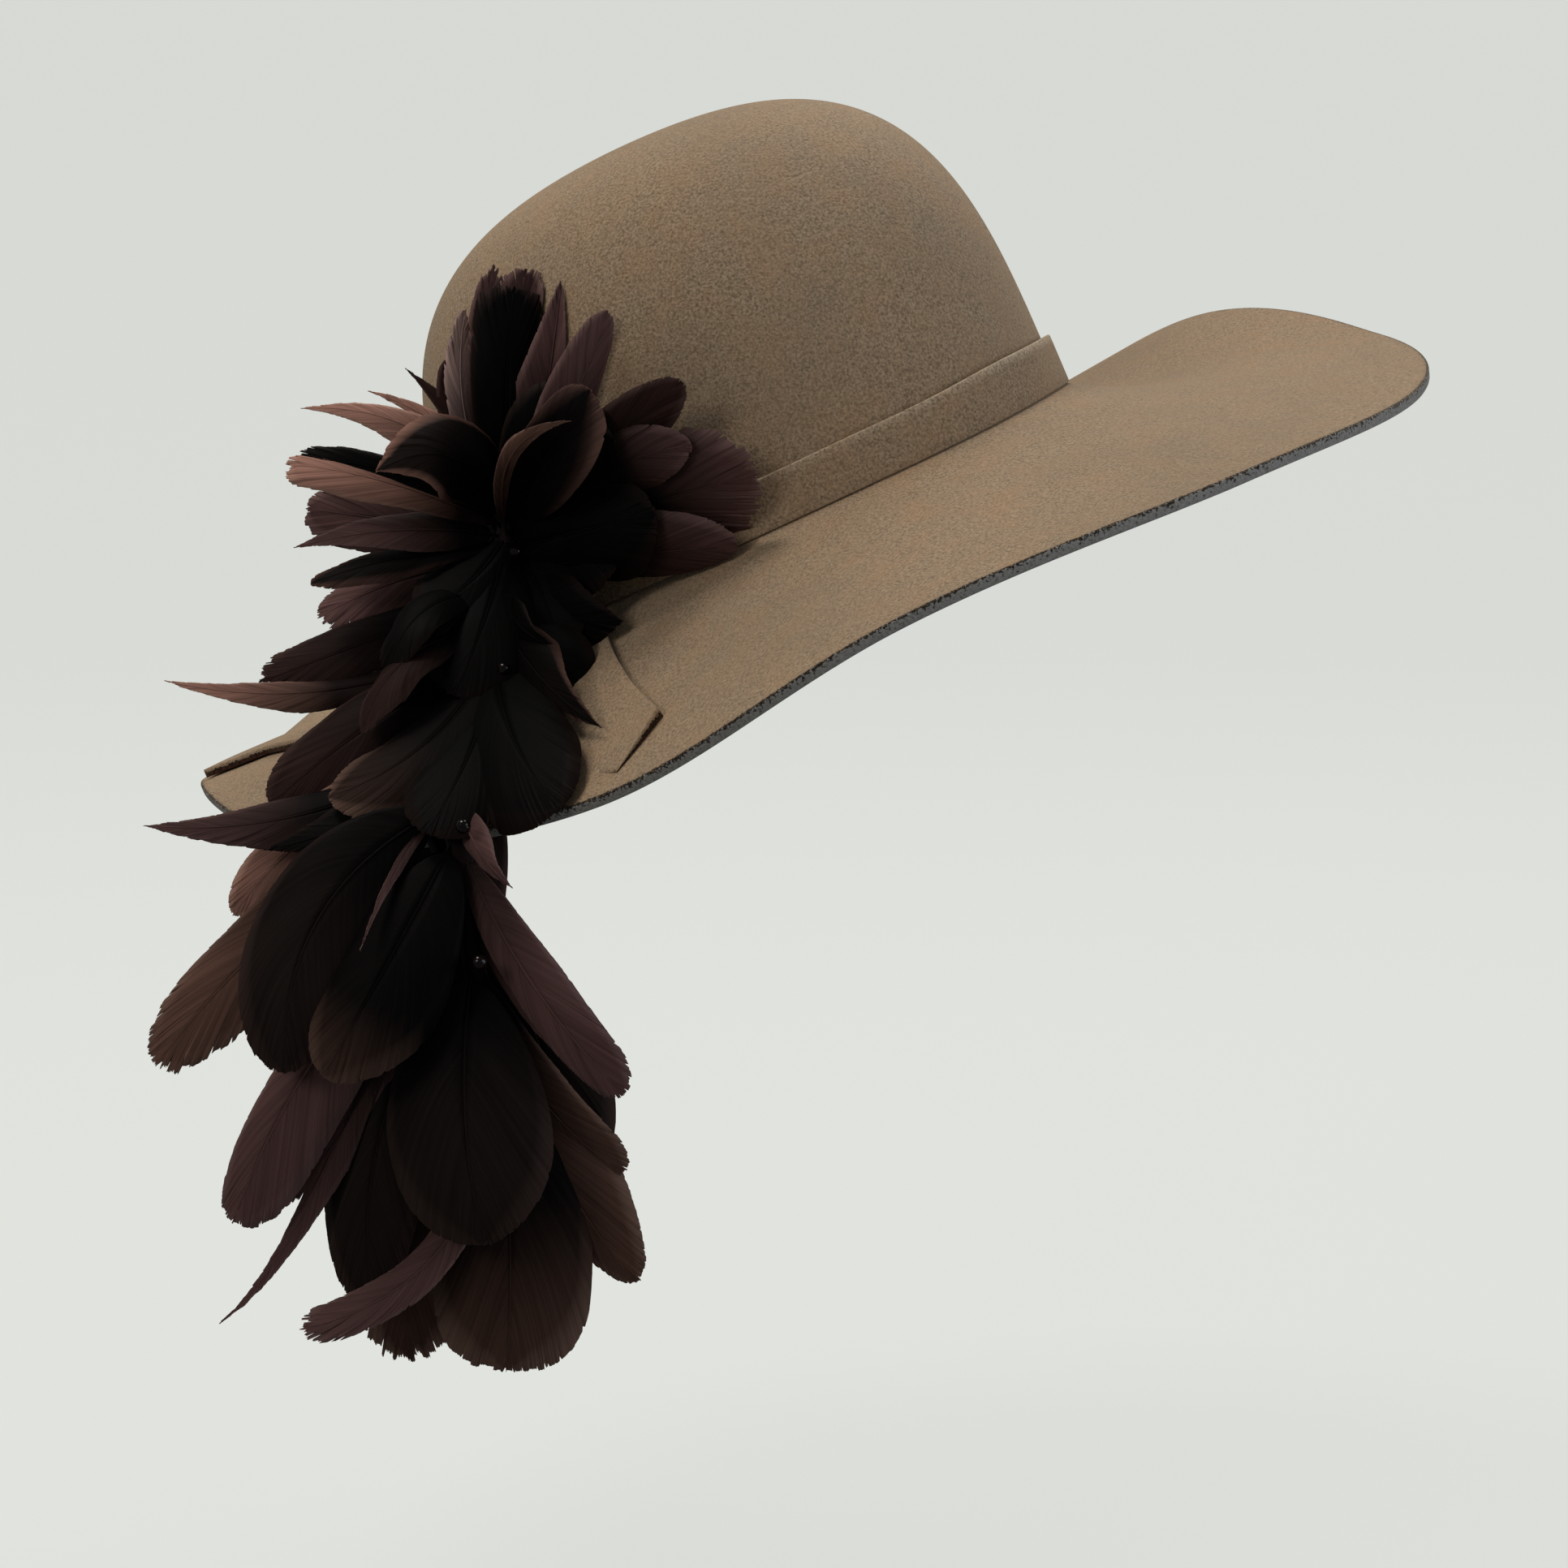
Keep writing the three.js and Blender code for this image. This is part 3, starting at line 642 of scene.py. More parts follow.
@dataclass
class FeltHat:
    """Crown and brim, blocked from one hood of felt."""

    form: HatForm = FORM
    crown_wall: float = 2.6
    brim_wall: float = 3.2
    around: int = 360
    crown_rings: int = 64
    brim_rings: int = 44
    crowding: float = 1.35
    usual_width: float = 100.0
    edge_round: float = 0.7
    edge_steps: int = 4
    # Share of the width before the edge over which the dye rises, which places the painted line of shade
    corner_shade_reach: float = 0.022
    waver: float = 0.45

    def brim_shares(self) -> Array:
        """Give the places of the rings across the brim, closer together towards the edge."""
        return 1 - (1 - np.linspace(0, 1, self.brim_rings)) ** self.crowding

    def unevenness(self, angle: Array, out: Array) -> Array:
        """Find the slow waver that hand blocking leaves in the brim.

        Args:
            angle: degrees round the hat.
            out: place across the brim as a share of its width.

        Returns:
            Millimetres up at each point.
        """
        a = np.radians(angle)
        wave = np.sin(3 * a + 1.1) * np.sin(5 * out + 0.4) + 0.6 * np.sin(7 * a + 4.0 * out)
        return self.waver * wave * out

    def crown_ring(self, share: float, grow: float) -> Array:
        """Give a ring of points round the crown, set out from its outer face by `grow`."""
        angle = ring_angles(self.around)
        return self.form.crown(angle, np.full_like(angle, share), grow)

    def brim_ring(self, share: float, drop: float) -> Array:
        """Find a ring of points round the brim.

        Args:
            share: place across the brim as a share of its width.
            drop: how far the ring lies below the upper face.

        Returns:
            The points in the hat's upright frame.
        """
        angle = ring_angles(self.around)
        out = np.full_like(angle, share)
        return self.form.brim(angle, out, self.unevenness(angle, out) - drop)

    def build(self, felt: Material) -> Object:
        """Make the hat, from the crown's top over the brim's edge to the inside of the crown.

        Args:
            felt: its finish.

        Returns:
            The piece that stands for the node `felt_hat`.
        """
        rows: List[Array] = []
        dye: List[float] = []
        turn = np.radians(np.linspace(0, 90, self.crown_rings + 1))[1:-1]
        shares = np.cos(turn) ** (2 / self.form.fullness)
        for share in shares:
            rows.append(self.crown_ring(share, 0.0))
            dye.append(0.0)
        inset = self.edge_round / self.usual_width
        # Near the edge the dye value rises, which puts the painted line of shade on the corner before the cut
        # edge turns down
        for out in self.brim_shares() * (1 - inset):
            rows.append(self.brim_ring(out, 0.0))
            dye.append(0.5 * max(0.0, 1 - (1 - out) / self.corner_shade_reach))
        bends = np.radians(np.linspace(0, 90, self.edge_steps + 1))
        for bend in bends:
            drop = 1 - math.cos(bend)
            rows.append(self.brim_ring(1 - inset + inset * math.sin(bend), self.edge_round * drop))
            dye.append(0.5 + 0.3 * min(drop, 1.0))
        for bend in bends:
            drop = self.brim_wall / self.edge_round - 1 + math.sin(bend)
            rows.append(self.brim_ring(1 - inset + inset * math.cos(bend), self.edge_round * drop))
            dye.append(1.0)
        for out in self.brim_shares()[::-1] * (1 - inset):
            rows.append(self.brim_ring(out, self.brim_wall))
            dye.append(1.0)
        angle = ring_angles(self.around)
        inner_foot = self.form.crown(angle, 0 * angle, -self.crown_wall)
        rows[-1] = inner_foot + (self.form.brim_value("roll", angle) - self.brim_wall)[:, None] * [0, 0, 1]
        for share in shares[::-1]:
            rows.append(self.crown_ring(share, -self.crown_wall))
            dye.append(1.0)
        top = self.form.crown(np.zeros(1), np.ones(1), 0.0)
        inner_top = self.form.crown(np.zeros(1), np.ones(1), -self.crown_wall)
        points = np.concatenate([top, *rows, inner_top]) @ TILT.T
        colour = np.concatenate([[0.0], np.repeat(dye, self.around), [1.0]])
        faces = ring_faces(len(rows), self.around, first=1)
        last = 1 + (len(rows) - 1) * self.around
        for i in range(self.around):
            j = (i + 1) % self.around
            faces.append((0, 1 + j, 1 + i))
            faces.append((len(points) - 1, last + i, last + j))
        hat = new_object("felt_hat_blocked", points, [face[::-1] for face in faces], felt, {"dye": colour})
        return finish_piece(hat, ["felt_hat"])


@dataclass
class HatBand:
    """A strip of the same felt, wound once round the foot of the crown."""

    form: HatForm = FORM
    clear: float = 0.3
    height: float = 13.2
    thickness: float = 2.4
    gap: float = 0.35
    round_off: float = 0.6
    # The pale highlight painted along the top edge: its share of the height, the angle round the band where
    # it is strongest and its least strength
    highlight_lip: float = 0.05
    highlight_at: float = 60.0
    highlight_least: float = 0.45
    around: int = 360

    def outline(self) -> List[Tuple[float, float]]:
        """Find the band's section.

        Returns:
            Share of the height and distance from the crown at each corner, once round.
        """
        outer = self.gap + self.thickness
        r = self.round_off
        tall = r / self.height
        bends = np.radians([0, 30, 60, 90])
        outer_low = [(tall * (1 - math.cos(b)), outer - r + r * math.sin(b)) for b in bends]
        outer_high = [(1 - tall * (1 - math.sin(b)), outer - r + r * math.cos(b)) for b in bends]
        middle = [(t, outer) for t in (0.2, 0.4, 0.6, 0.8)]
        return [(0.0, self.gap)] + outer_low + middle + outer_high + [(1.0, self.gap)]

    def build(self, felt: Material) -> Object:
        """Make the band.

        Args:
            felt: its finish.

        Returns:
            The piece that stands for the node `hat_band`.
        """
        angle = ring_angles(self.around)
        waver = 0.25 * np.sin(np.radians(angle) * 5 + 0.8) + 0.15 * np.sin(np.radians(angle) * 11)
        top = self.form.brim_value("roll", angle) + self.clear + self.height + waver
        rings = []
        for share, distance in self.outline():
            out = distance / self.form.brim_value("width", angle)
            foot = self.form.brim(angle, out, 0 * angle + self.clear)[:, 2]
            raised = np.clip(foot + (top - foot) * share, 0, None)
            rings.append(self.form.crown(angle, raised / self.form.crown_height, distance))
        points = np.concatenate(rings) @ TILT.T
        faces = ring_faces(len(rings), self.around, loop=True)
        # Painted highlight along the top edge, strongest at one angle round the band and fading away from it
        faced = np.clip(np.cos(np.radians(angle - self.highlight_at)), 0, 1) ** 2
        brushed = self.highlight_least + (1 - self.highlight_least) * faced
        highlight_lip = np.concatenate([brushed * (share > 1 - self.highlight_lip) for share, _ in self.outline()])
        values = {"dye": np.zeros(len(points)), "highlight_lip": highlight_lip}
        band = new_object("hat_band_strip", points, faces, felt, values)
        return finish_piece(band, ["hat_band"])


@dataclass(frozen=True)
class TieRow:
    """A line across the tie, from its crown side to its edge side.

    The angles are round the hat, `out` is the share of the brim's width and `thick` is the height
    of the felt's face above the brim. Where that is near zero the tie is pressed into the brim.
    """

    crown_at: float
    crown_out: float
    edge_at: float
    edge_out: float
    crown_thick: float
    edge_thick: float


TIE_ROWS = (
    TieRow(234.0, 0.955, 235.5, 0.975, 2.8, 3.0),
    TieRow(224.0, 0.72, 238.0, 0.78, 2.6, 2.8),
    TieRow(236.0, 0.34, 247.0, 0.62, 2.6, 3.0),
    TieRow(254.0, 0.14, 262.0, 0.46, 2.4, 2.4),
    TieRow(272.0, 0.08, 277.0, 0.42, 2.4, 2.2),
    TieRow(288.0, 0.10, 288.0, 0.70, 2.8, 0.2),
    TieRow(297.5, 0.42, 297.0, 0.85, 3.0, 0.0),
    TieRow(304.0, 0.66, 302.0, 0.92, 3.2, 0.9),
    TieRow(306.0, 0.745, 305.0, 0.79, 3.4, 3.0),
)


@dataclass
class FeltTie:
    """A flat bow of cut felt under the feathers, with a tail to the front and one to the back."""

    form: HatForm = FORM
    rows: Tuple[TieRow, ...] = TIE_ROWS
    clear: float = 0.5
    least: float = 0.4
    thin: float = 0.6
    cut_reach: float = 0.5
    steps_between: int = 8
    steps_across: int = 16

    def build(self, felt: Material) -> Object:
        """Make the tie.

        Args:
            felt: its finish.

        Returns:
            The piece that stands for the node `felt_tie`.
        """
        table = np.array([astuple(line) for line in self.rows])
        places = np.linspace(0, len(table) - 1, (len(table) - 1) * self.steps_between + 1)
        lines = np.array([np.interp(places, np.arange(len(table)), column) for column in table.T]).T
        across = np.linspace(0, 1, self.steps_across)
        rings = []
        dye = []
        for crown_at, crown_out, edge_at, edge_out, crown_thick, edge_thick in lines:
            at = crown_at + (edge_at - crown_at) * across
            out = crown_out + (edge_out - crown_out) * across
            top = crown_thick + (edge_thick - crown_thick) * across
            upper = self.form.brim(at, out, top)
            lower = self.form.brim(at, out, np.minimum(self.clear, top - self.least))
            rings.append(np.concatenate([upper, lower[::-1]]))
            # The cut edge takes the dark dye only where the tie stands thick, and the painted line of shade
            # runs along it there
            cut = np.clip((top - self.thin) / self.cut_reach, 0, 1)
            dye.append(np.concatenate([0 * top, cut[::-1]]))
        count = rings[0].shape[0]
        points = np.concatenate(rings) @ TILT.T
        faces = ring_faces(len(rings), count, caps=True)
        tie = new_object("felt_tie_cut", points, faces, felt, {"dye": np.concatenate(dye)})
        return finish_piece(tie, ["felt_tie"])


class Tip(Enum):
    """How a feather closes.

    The numbers tell where it is widest, how fast it narrows, how blunt it ends and how deep its
    edge is notched there, in millimetres.
    """

    ROUND = (0.64, 2.0, 2.0, 0.5)
    RAGGED = (0.62, 3.0, 2.4, 3.0)
    BLUNT = (0.6, 5.0, 2.6, 0.9)
    SQUARE = (0.7, 8.0, 3.0, 2.4)
    BROAD = (0.55, 1.3, 1.15, 0.5)
    POINT = (0.42, 1.15, 1.0, 0.5)
    SWORD = (0.6, 1.2, 1.0, 0.5)


class Dye(Enum):
    """A feather's colour at its quill and at its tip, and a painted highlight along its rim."""

    INK = ("#060605", "#0d0b0a", "#2b201c")
    SOOT = ("#0e0c0b", "#241c19", "#46352f")
    # Near-black feathers with a painted highlight along the rim, the second one brighter
    DARK_LIT_EDGE = ("#060605", "#120d0b", "#6c4f45")
    DARK_BRIGHT_LIT_EDGE = ("#060605", "#1c1411", "#a57a6a")
    WINE = ("#080706", "#33221f", "#53403a")
    MAUVE = ("#0c0908", "#604643", "#7e645f")
    PALE = ("#120c0b", "#9a8079", "#a88f87")
    UMBER = ("#0a0807", "#674b40", "#866a5c")
    RUST = ("#1a100d", "#b08373", "#c09a86")


@dataclass(frozen=True)
class Feather:
    """One feather, bound to the stem by its quill.

    `station` is the place along the stem and `aim` the angle in the layout frame, 0 to the right
    and 90 up. `rise` is how far the tip comes out, `sweep` and `bow` how far the middle bends
    sideways and out, and `roll` the turn about the feather's own line. A positive `cup` turns the
    vane's sides away from the front and a negative one towards it. `rim` is the share of each barb
    that has the rim's colour, a painted highlight where the edge catches the light. `fade` is the
    share of the length where the tip's colour sets in and `shade` how light that colour is; the
    dark towards the quill is partly dye and partly painted shade where the feathers crowd, and both
    were set for each feather partly to paint how much light it gets. A `late` above 1 puts the
    middle's bend nearer to the tip.
    """

    station: float
    aim: float
    length: float
    rise: float
    width: float
    sweep: float
    bow: float
    roll: float
    tip: Tip = Tip.ROUND
    dye: Dye = Dye.INK
    fold: float = 0.05
    cup: float = 0.3
    rim: float = 0.14
    fade: float = 0.22
    shade: float = 1.0
    late: float = 1.0

    def axes(self) -> Tuple[Array, Array, Array]:
        """Find the ways that the feather is measured along.

        Returns:
            The way ahead, the way aside and the way out, in the worn frame.
        """
        right, up, out = LAYOUT.axes()
        a = math.radians(self.aim)
        return (right * math.cos(a) + up * math.sin(a), up * math.cos(a) - right * math.sin(a), out)

    def line(self, root: Array, t: Array) -> Array:
        """Find points of the shaft.

        Args:
            root: where the quill is bound.
            t: shares of the feather's length.

        Returns:
            A point of the worn frame for each share.
        """
        ahead, aside, out = self.axes()
        bend = (4 * t ** self.late * (1 - t ** self.late))[..., None]
        return (root + ahead * self.length * t[..., None] + aside * self.sweep * bend
                + out * (self.bow * bend + self.rise * t[..., None]))

    def cross(self, t: Array, twist: float) -> Tuple[Array, Array]:
        """Give the ways across the vane and square to it.

        Args:
            t: shares of the feather's length.
            twist: how far the vane turns from quill to tip, in degrees.

        Returns:
            The way across and the face's normal at each share.
        """
        ahead, aside, out = self.axes()
        near = np.clip(t, 0.01, None)
        slope = (4 * self.late * near ** (self.late - 1) * (1 - 2 * near ** self.late))[..., None]
        forward = ahead * self.length + aside * self.sweep * slope + out * (self.bow * slope + self.rise)
        forward = forward / np.linalg.norm(forward, axis=-1, keepdims=True)
        level = np.cross(out, forward)
        level = level / np.linalg.norm(level, axis=-1, keepdims=True)
        face = np.cross(forward, level)
        turn = np.radians(self.roll + twist * t)[..., None]
        return level * np.cos(turn) + face * np.sin(turn), face * np.cos(turn) - level * np.sin(turn)

    def uneven(self) -> float:
        """Give how much wider one side of the vane is than the other, different for each feather."""
        return 0.12 * math.sin(self.aim * 2.3 + self.length)

    def half_width(self, t: Array, quill_end: float, quill_half: float) -> Array:
        """Find half the vane's width.

        Args:
            t: shares of the feather's length.
            quill_end: share of the length where the vane starts.
            quill_half: half the vane's width there.

        Returns:
            Half the width at each share, in millimetres.
        """
        widest, close, blunt, _ = self.tip.value
        grown = np.sin(np.clip((t - quill_end) / (widest - quill_end), 0, 1) * math.pi / 2)
        rising = quill_half + (self.width / 2 - quill_half) * grown ** 0.6
        left = np.clip(1 - np.clip((t - widest) / (1 - widest), 0, 1) ** close, 0, 1)
        return np.where(t < widest, rising, self.width / 2 * left ** (1 / blunt))


# Each feather starts with its station, aim, length, rise, width, sweep, bow and roll
FEATHERS: Dict[str, Tuple[Feather, ...]] = {
    "feathers_crown_fan": (
        Feather(0.00, 88, 65, 14, 21, 1, 6, 5, tip=Tip.SQUARE),
        Feather(0.00, 93, 72, 8, 10, 4, 3, 20, tip=Tip.RAGGED, dye=Dye.MAUVE, fade=0.35),
        Feather(0.00, 86, 71, 8, 17, 0, 3, 5, tip=Tip.SQUARE, dye=Dye.MAUVE, fade=0.35, shade=0.6),
        Feather(0.00, 101, 61, 6, 10, 6, 4, 30, tip=Tip.RAGGED, dye=Dye.PALE, fade=0.25, shade=1.5),
        Feather(0.00, 111, 50, -4, 11, 3, 2, 30, dye=Dye.WINE),
        Feather(0.00, 77, 68, 16, 17, -3, 5, 20, tip=Tip.BROAD, dye=Dye.MAUVE, shade=1.1),
        Feather(0.10, 64, 67, 28, 15, -2, 8, 35, dye=Dye.MAUVE, shade=1.1),
        Feather(0.15, 39, 65, 46, 18, 0, 10, 25, dye=Dye.WINE, fade=0.45, shade=1.3),
        Feather(0.20, 26, 59, 44, 19, 5, 10, 10, dye=Dye.MAUVE, fade=0.65, shade=1.4),
        Feather(0.25, 16, 74, 40, 38, 1, 9, 20, tip=Tip.RAGGED, dye=Dye.MAUVE, fade=0.62, shade=1.5),
        Feather(0.35, 5, 66, 32, 20, 0, 8, 40, dye=Dye.MAUVE, fade=0.5),
        Feather(0.40, -20, 37, 26, 22, -4, 5, 20, tip=Tip.BROAD),
        Feather(0.05, 68, 42, 24, 22, 0, 8, 0),
        Feather(0.10, 37, 40, 42, 32, 2, 8, 10),
        Feather(0.20, 10, 44, 38, 30, 0, 8, 15),
    ),
    "feathers_front_cup": (
        Feather(0.10, 56, 45, 42, 20, 0, 18, 8, dye=Dye.DARK_LIT_EDGE, cup=-0.7, rim=0.3),
        Feather(0.10, 54, 35, 46, 5, 8, 20, 20, tip=Tip.BROAD, dye=Dye.UMBER, fade=0),
        Feather(0.00, 162, 35, 42, 26, -11, 10, 20, tip=Tip.BROAD, dye=Dye.DARK_BRIGHT_LIT_EDGE, rim=0.12),
    ),
    "feathers_side_spray": (
        Feather(0.05, 150, 66, 12, 16, -11, 4, 30, tip=Tip.POINT, dye=Dye.RUST),
        Feather(0.00, 137, 54, 4, 9, -7, 2, 30, tip=Tip.POINT, dye=Dye.RUST),
        Feather(0.00, 124, 53, -2, 10, -4, 2, 30, tip=Tip.POINT, dye=Dye.WINE),
        Feather(0.05, 164, 63, 16, 13, -3, 6, 35, tip=Tip.SQUARE, dye=Dye.RUST),
        Feather(0.05, 162, 61, 13, 10, -5, 6, 20, tip=Tip.SQUARE),
        Feather(0.10, 172, 57, 2, 18, 0, 2, 25, tip=Tip.BLUNT, dye=Dye.MAUVE),
        Feather(0.10, -176, 58, 18, 15, -3, 6, 35, tip=Tip.POINT, dye=Dye.MAUVE),
        Feather(0.15, -167, 54, 21, 12, -2, 4, 40, dye=Dye.DARK_LIT_EDGE, rim=0.35),
        Feather(0.25, -162, 55, 3, 16, -3, 2, 30, tip=Tip.RAGGED, dye=Dye.MAUVE, shade=1.5),
        Feather(0.45, -158, 72, 9, 19, 1, 6, 35, tip=Tip.RAGGED, dye=Dye.WINE, fade=0.4),
        Feather(0.80, -172, 91, 14, 11, 9, 4, 40, tip=Tip.SWORD, dye=Dye.RUST, fade=0.5),
    ),
    "feathers_far_side": (
        Feather(0.05, 150, 30, -46, 26, 2, -6, 10, dye=Dye.WINE),
        Feather(0.10, 176, 34, -44, 26, 2, -8, -10, dye=Dye.MAUVE),
        Feather(0.20, -158, 32, -46, 26, -2, -8, 15, tip=Tip.RAGGED, dye=Dye.WINE),
        Feather(0.40, -170, 44, -36, 24, 2, -8, -20, dye=Dye.MAUVE),
        Feather(0.60, -150, 40, -40, 26, 2, -6, 20, tip=Tip.RAGGED, dye=Dye.WINE),
        Feather(0.85, -160, 48, -34, 24, 3, -6, 10),
        Feather(1.20, -150, 52, -34, 24, 2, -6, -10, dye=Dye.MAUVE),
        Feather(0.00, 120, 36, -30, 22, -2, -4, 20, dye=Dye.WINE),
    ),
    "feathers_heart": (
        Feather(0.05, -134, 35, 25, 26, 4, 6, 20),
        Feather(0.10, -105, 47, 36, 28, 2, 8, 15),
        Feather(0.10, -63, 36, 28, 26, 2, 6, 20),
        Feather(0.05, -21, 34, 32, 26, 2, 4, 20),
        Feather(0.50, -140, 37, 28, 16, -8, 8, 40),
        Feather(0.75, -139, 45, 31, 14, -8, 8, 50, dye=Dye.WINE),
        Feather(0.50, -42, 25, 32, 12, -3, 8, 50, tip=Tip.POINT),
        Feather(0.65, -46, 45, 60, 16, -3, 4, 30, tip=Tip.POINT, dye=Dye.DARK_LIT_EDGE, rim=0.12, fade=0.1),
        Feather(0.70, -42, 33, 24, 28, 0, 6, 10),
        Feather(0.30, -78, 36, 24, 28, 0, 6, 10),
        Feather(0.45, -108, 36, 24, 26, 0, 6, 10),
    ),
    "feathers_over_brim": (
        Feather(0.90, -63, 49, 72, 34, -4, 8, 10),
        Feather(0.95, -106, 50, 59, 32, 4, 8, 15),
        Feather(0.85, -134, 59, 45, 28, 8, 12, 35, dye=Dye.UMBER, fade=0.5, shade=0.3),
        Feather(0.90, -144, 73, 24, 24, -2, 8, 30, dye=Dye.WINE, fade=0.3),
        Feather(1.45, -164, 91, 15, 16, 9, 6, 30, tip=Tip.SWORD, dye=Dye.MAUVE, fade=0.5),
        Feather(1.60, -155, 60, 9, 20, 4, 8, 30, tip=Tip.POINT),
    ),
    "feathers_tail_side": (
        Feather(1.60, -146, 77, -1, 19, -7, 2, 30, dye=Dye.RUST, shade=0.6),
        Feather(1.95, -140, 106, -11, 27, -6, 2, 25, tip=Tip.RAGGED, dye=Dye.UMBER, fold=0.15),
        Feather(1.90, -122, 83, 17, 34, -14, 6, 5, dye=Dye.SOOT, fold=0.2),
        Feather(2.10, -118, 71, 18, 32, 1, 6, 15, dye=Dye.UMBER, fade=0.7, shade=0.7),
        Feather(1.70, -118, 53, 34, 4, -3, 2, 30, tip=Tip.POINT, dye=Dye.MAUVE, shade=0.75),
        Feather(2.50, -125, 107, -4, 22, -7, 4, 15, tip=Tip.BLUNT, dye=Dye.MAUVE, fold=0.2, fade=0.1),
        Feather(2.60, -121, 92, -8, 15, 2, 2, 30, tip=Tip.RAGGED, dye=Dye.MAUVE),
        Feather(2.40, -119, 136, -10, 10, 6, 2, 40, tip=Tip.SWORD, dye=Dye.MAUVE, fade=0.35, late=2.4),
        Feather(2.90, -106, 99, -6, 28, -10, 2, 10, dye=Dye.SOOT),
        Feather(3.95, -128, 80, 10, 12, 16, 6, 20, tip=Tip.SQUARE, dye=Dye.MAUVE, fade=0.1),
    ),
    "feathers_tail_front": (
        Feather(1.90, -55, 27, 21, 9, -2, 4, 30, tip=Tip.POINT, dye=Dye.MAUVE, fade=-0.1),
        Feather(2.15, -56, 79, 16, 15, -4, 4, 15, tip=Tip.BLUNT, dye=Dye.MAUVE, fade=0.02),
        Feather(2.30, -56, 73, 10, 9, -7, 2, 40, tip=Tip.POINT, dye=Dye.MAUVE),
        Feather(3.20, -101, 102, -15, 36, -7, 2, 5, tip=Tip.RAGGED, dye=Dye.UMBER, fade=0.3, shade=0.6),
        Feather(3.40, -86, 94, 0, 42, 4, 6, 5, tip=Tip.BLUNT, dye=Dye.UMBER, fade=0.5, shade=0.6),
        Feather(2.95, -87, 74, 16, 45, -3, 8, 5, dye=Dye.SOOT),
        Feather(2.90, -56, 71, 0, 18, -7, 4, 15, tip=Tip.BLUNT, dye=Dye.UMBER, fade=0.3, shade=0.75),
        Feather(3.20, -62, 88, -5, 24, -4, 4, 20, dye=Dye.UMBER, fade=0.1, shade=0.85),
        Feather(2.60, -71, 83, -6, 26, 6, 4, 10, dye=Dye.SOOT),
    ),
    "feathers_tail_far": (
        Feather(1.50, -98, 66, -30, 28, 0, -6, -10, dye=Dye.WINE),
        Feather(2.10, -112, 78, -34, 30, -4, -6, -15, dye=Dye.MAUVE),
        Feather(2.60, -84, 80, -34, 30, 3, -6, 10, dye=Dye.WINE),
        Feather(3.10, -104, 84, -30, 32, -3, -5, -5, dye=Dye.WINE),
        Feather(3.30, -72, 78, -28, 28, 3, -5, 10, dye=Dye.MAUVE),
    ),
}


@dataclass
class MeshParts:
    """Points, faces and per-point values that grow as vanes and shafts are added."""

    points: List[Array] = field(default_factory=list)
    faces: Faces = field(default_factory=list)
    numbers: Dict[str, List[Array]] = field(default_factory=dict)
    count: int = 0

    def add(self, points: Array, faces: Faces, **numbers: Array) -> None:
        """Append one patch.

        Args:
            points: its points.
            faces: its faces, which number its own points from zero.
            numbers: its attributes, an entry for each point.
        """
        self.faces.extend(tuple(self.count + i for i in face) for face in faces)
        self.points.append(points)
        for key, column in numbers.items():
            self.numbers.setdefault(key, []).append(column)
        self.count += len(points)

    def values(self) -> Dict[str, Array]:
        """Give the attributes for the whole mesh."""
        return {key: np.concatenate(columns) for key, columns in self.numbers.items()}


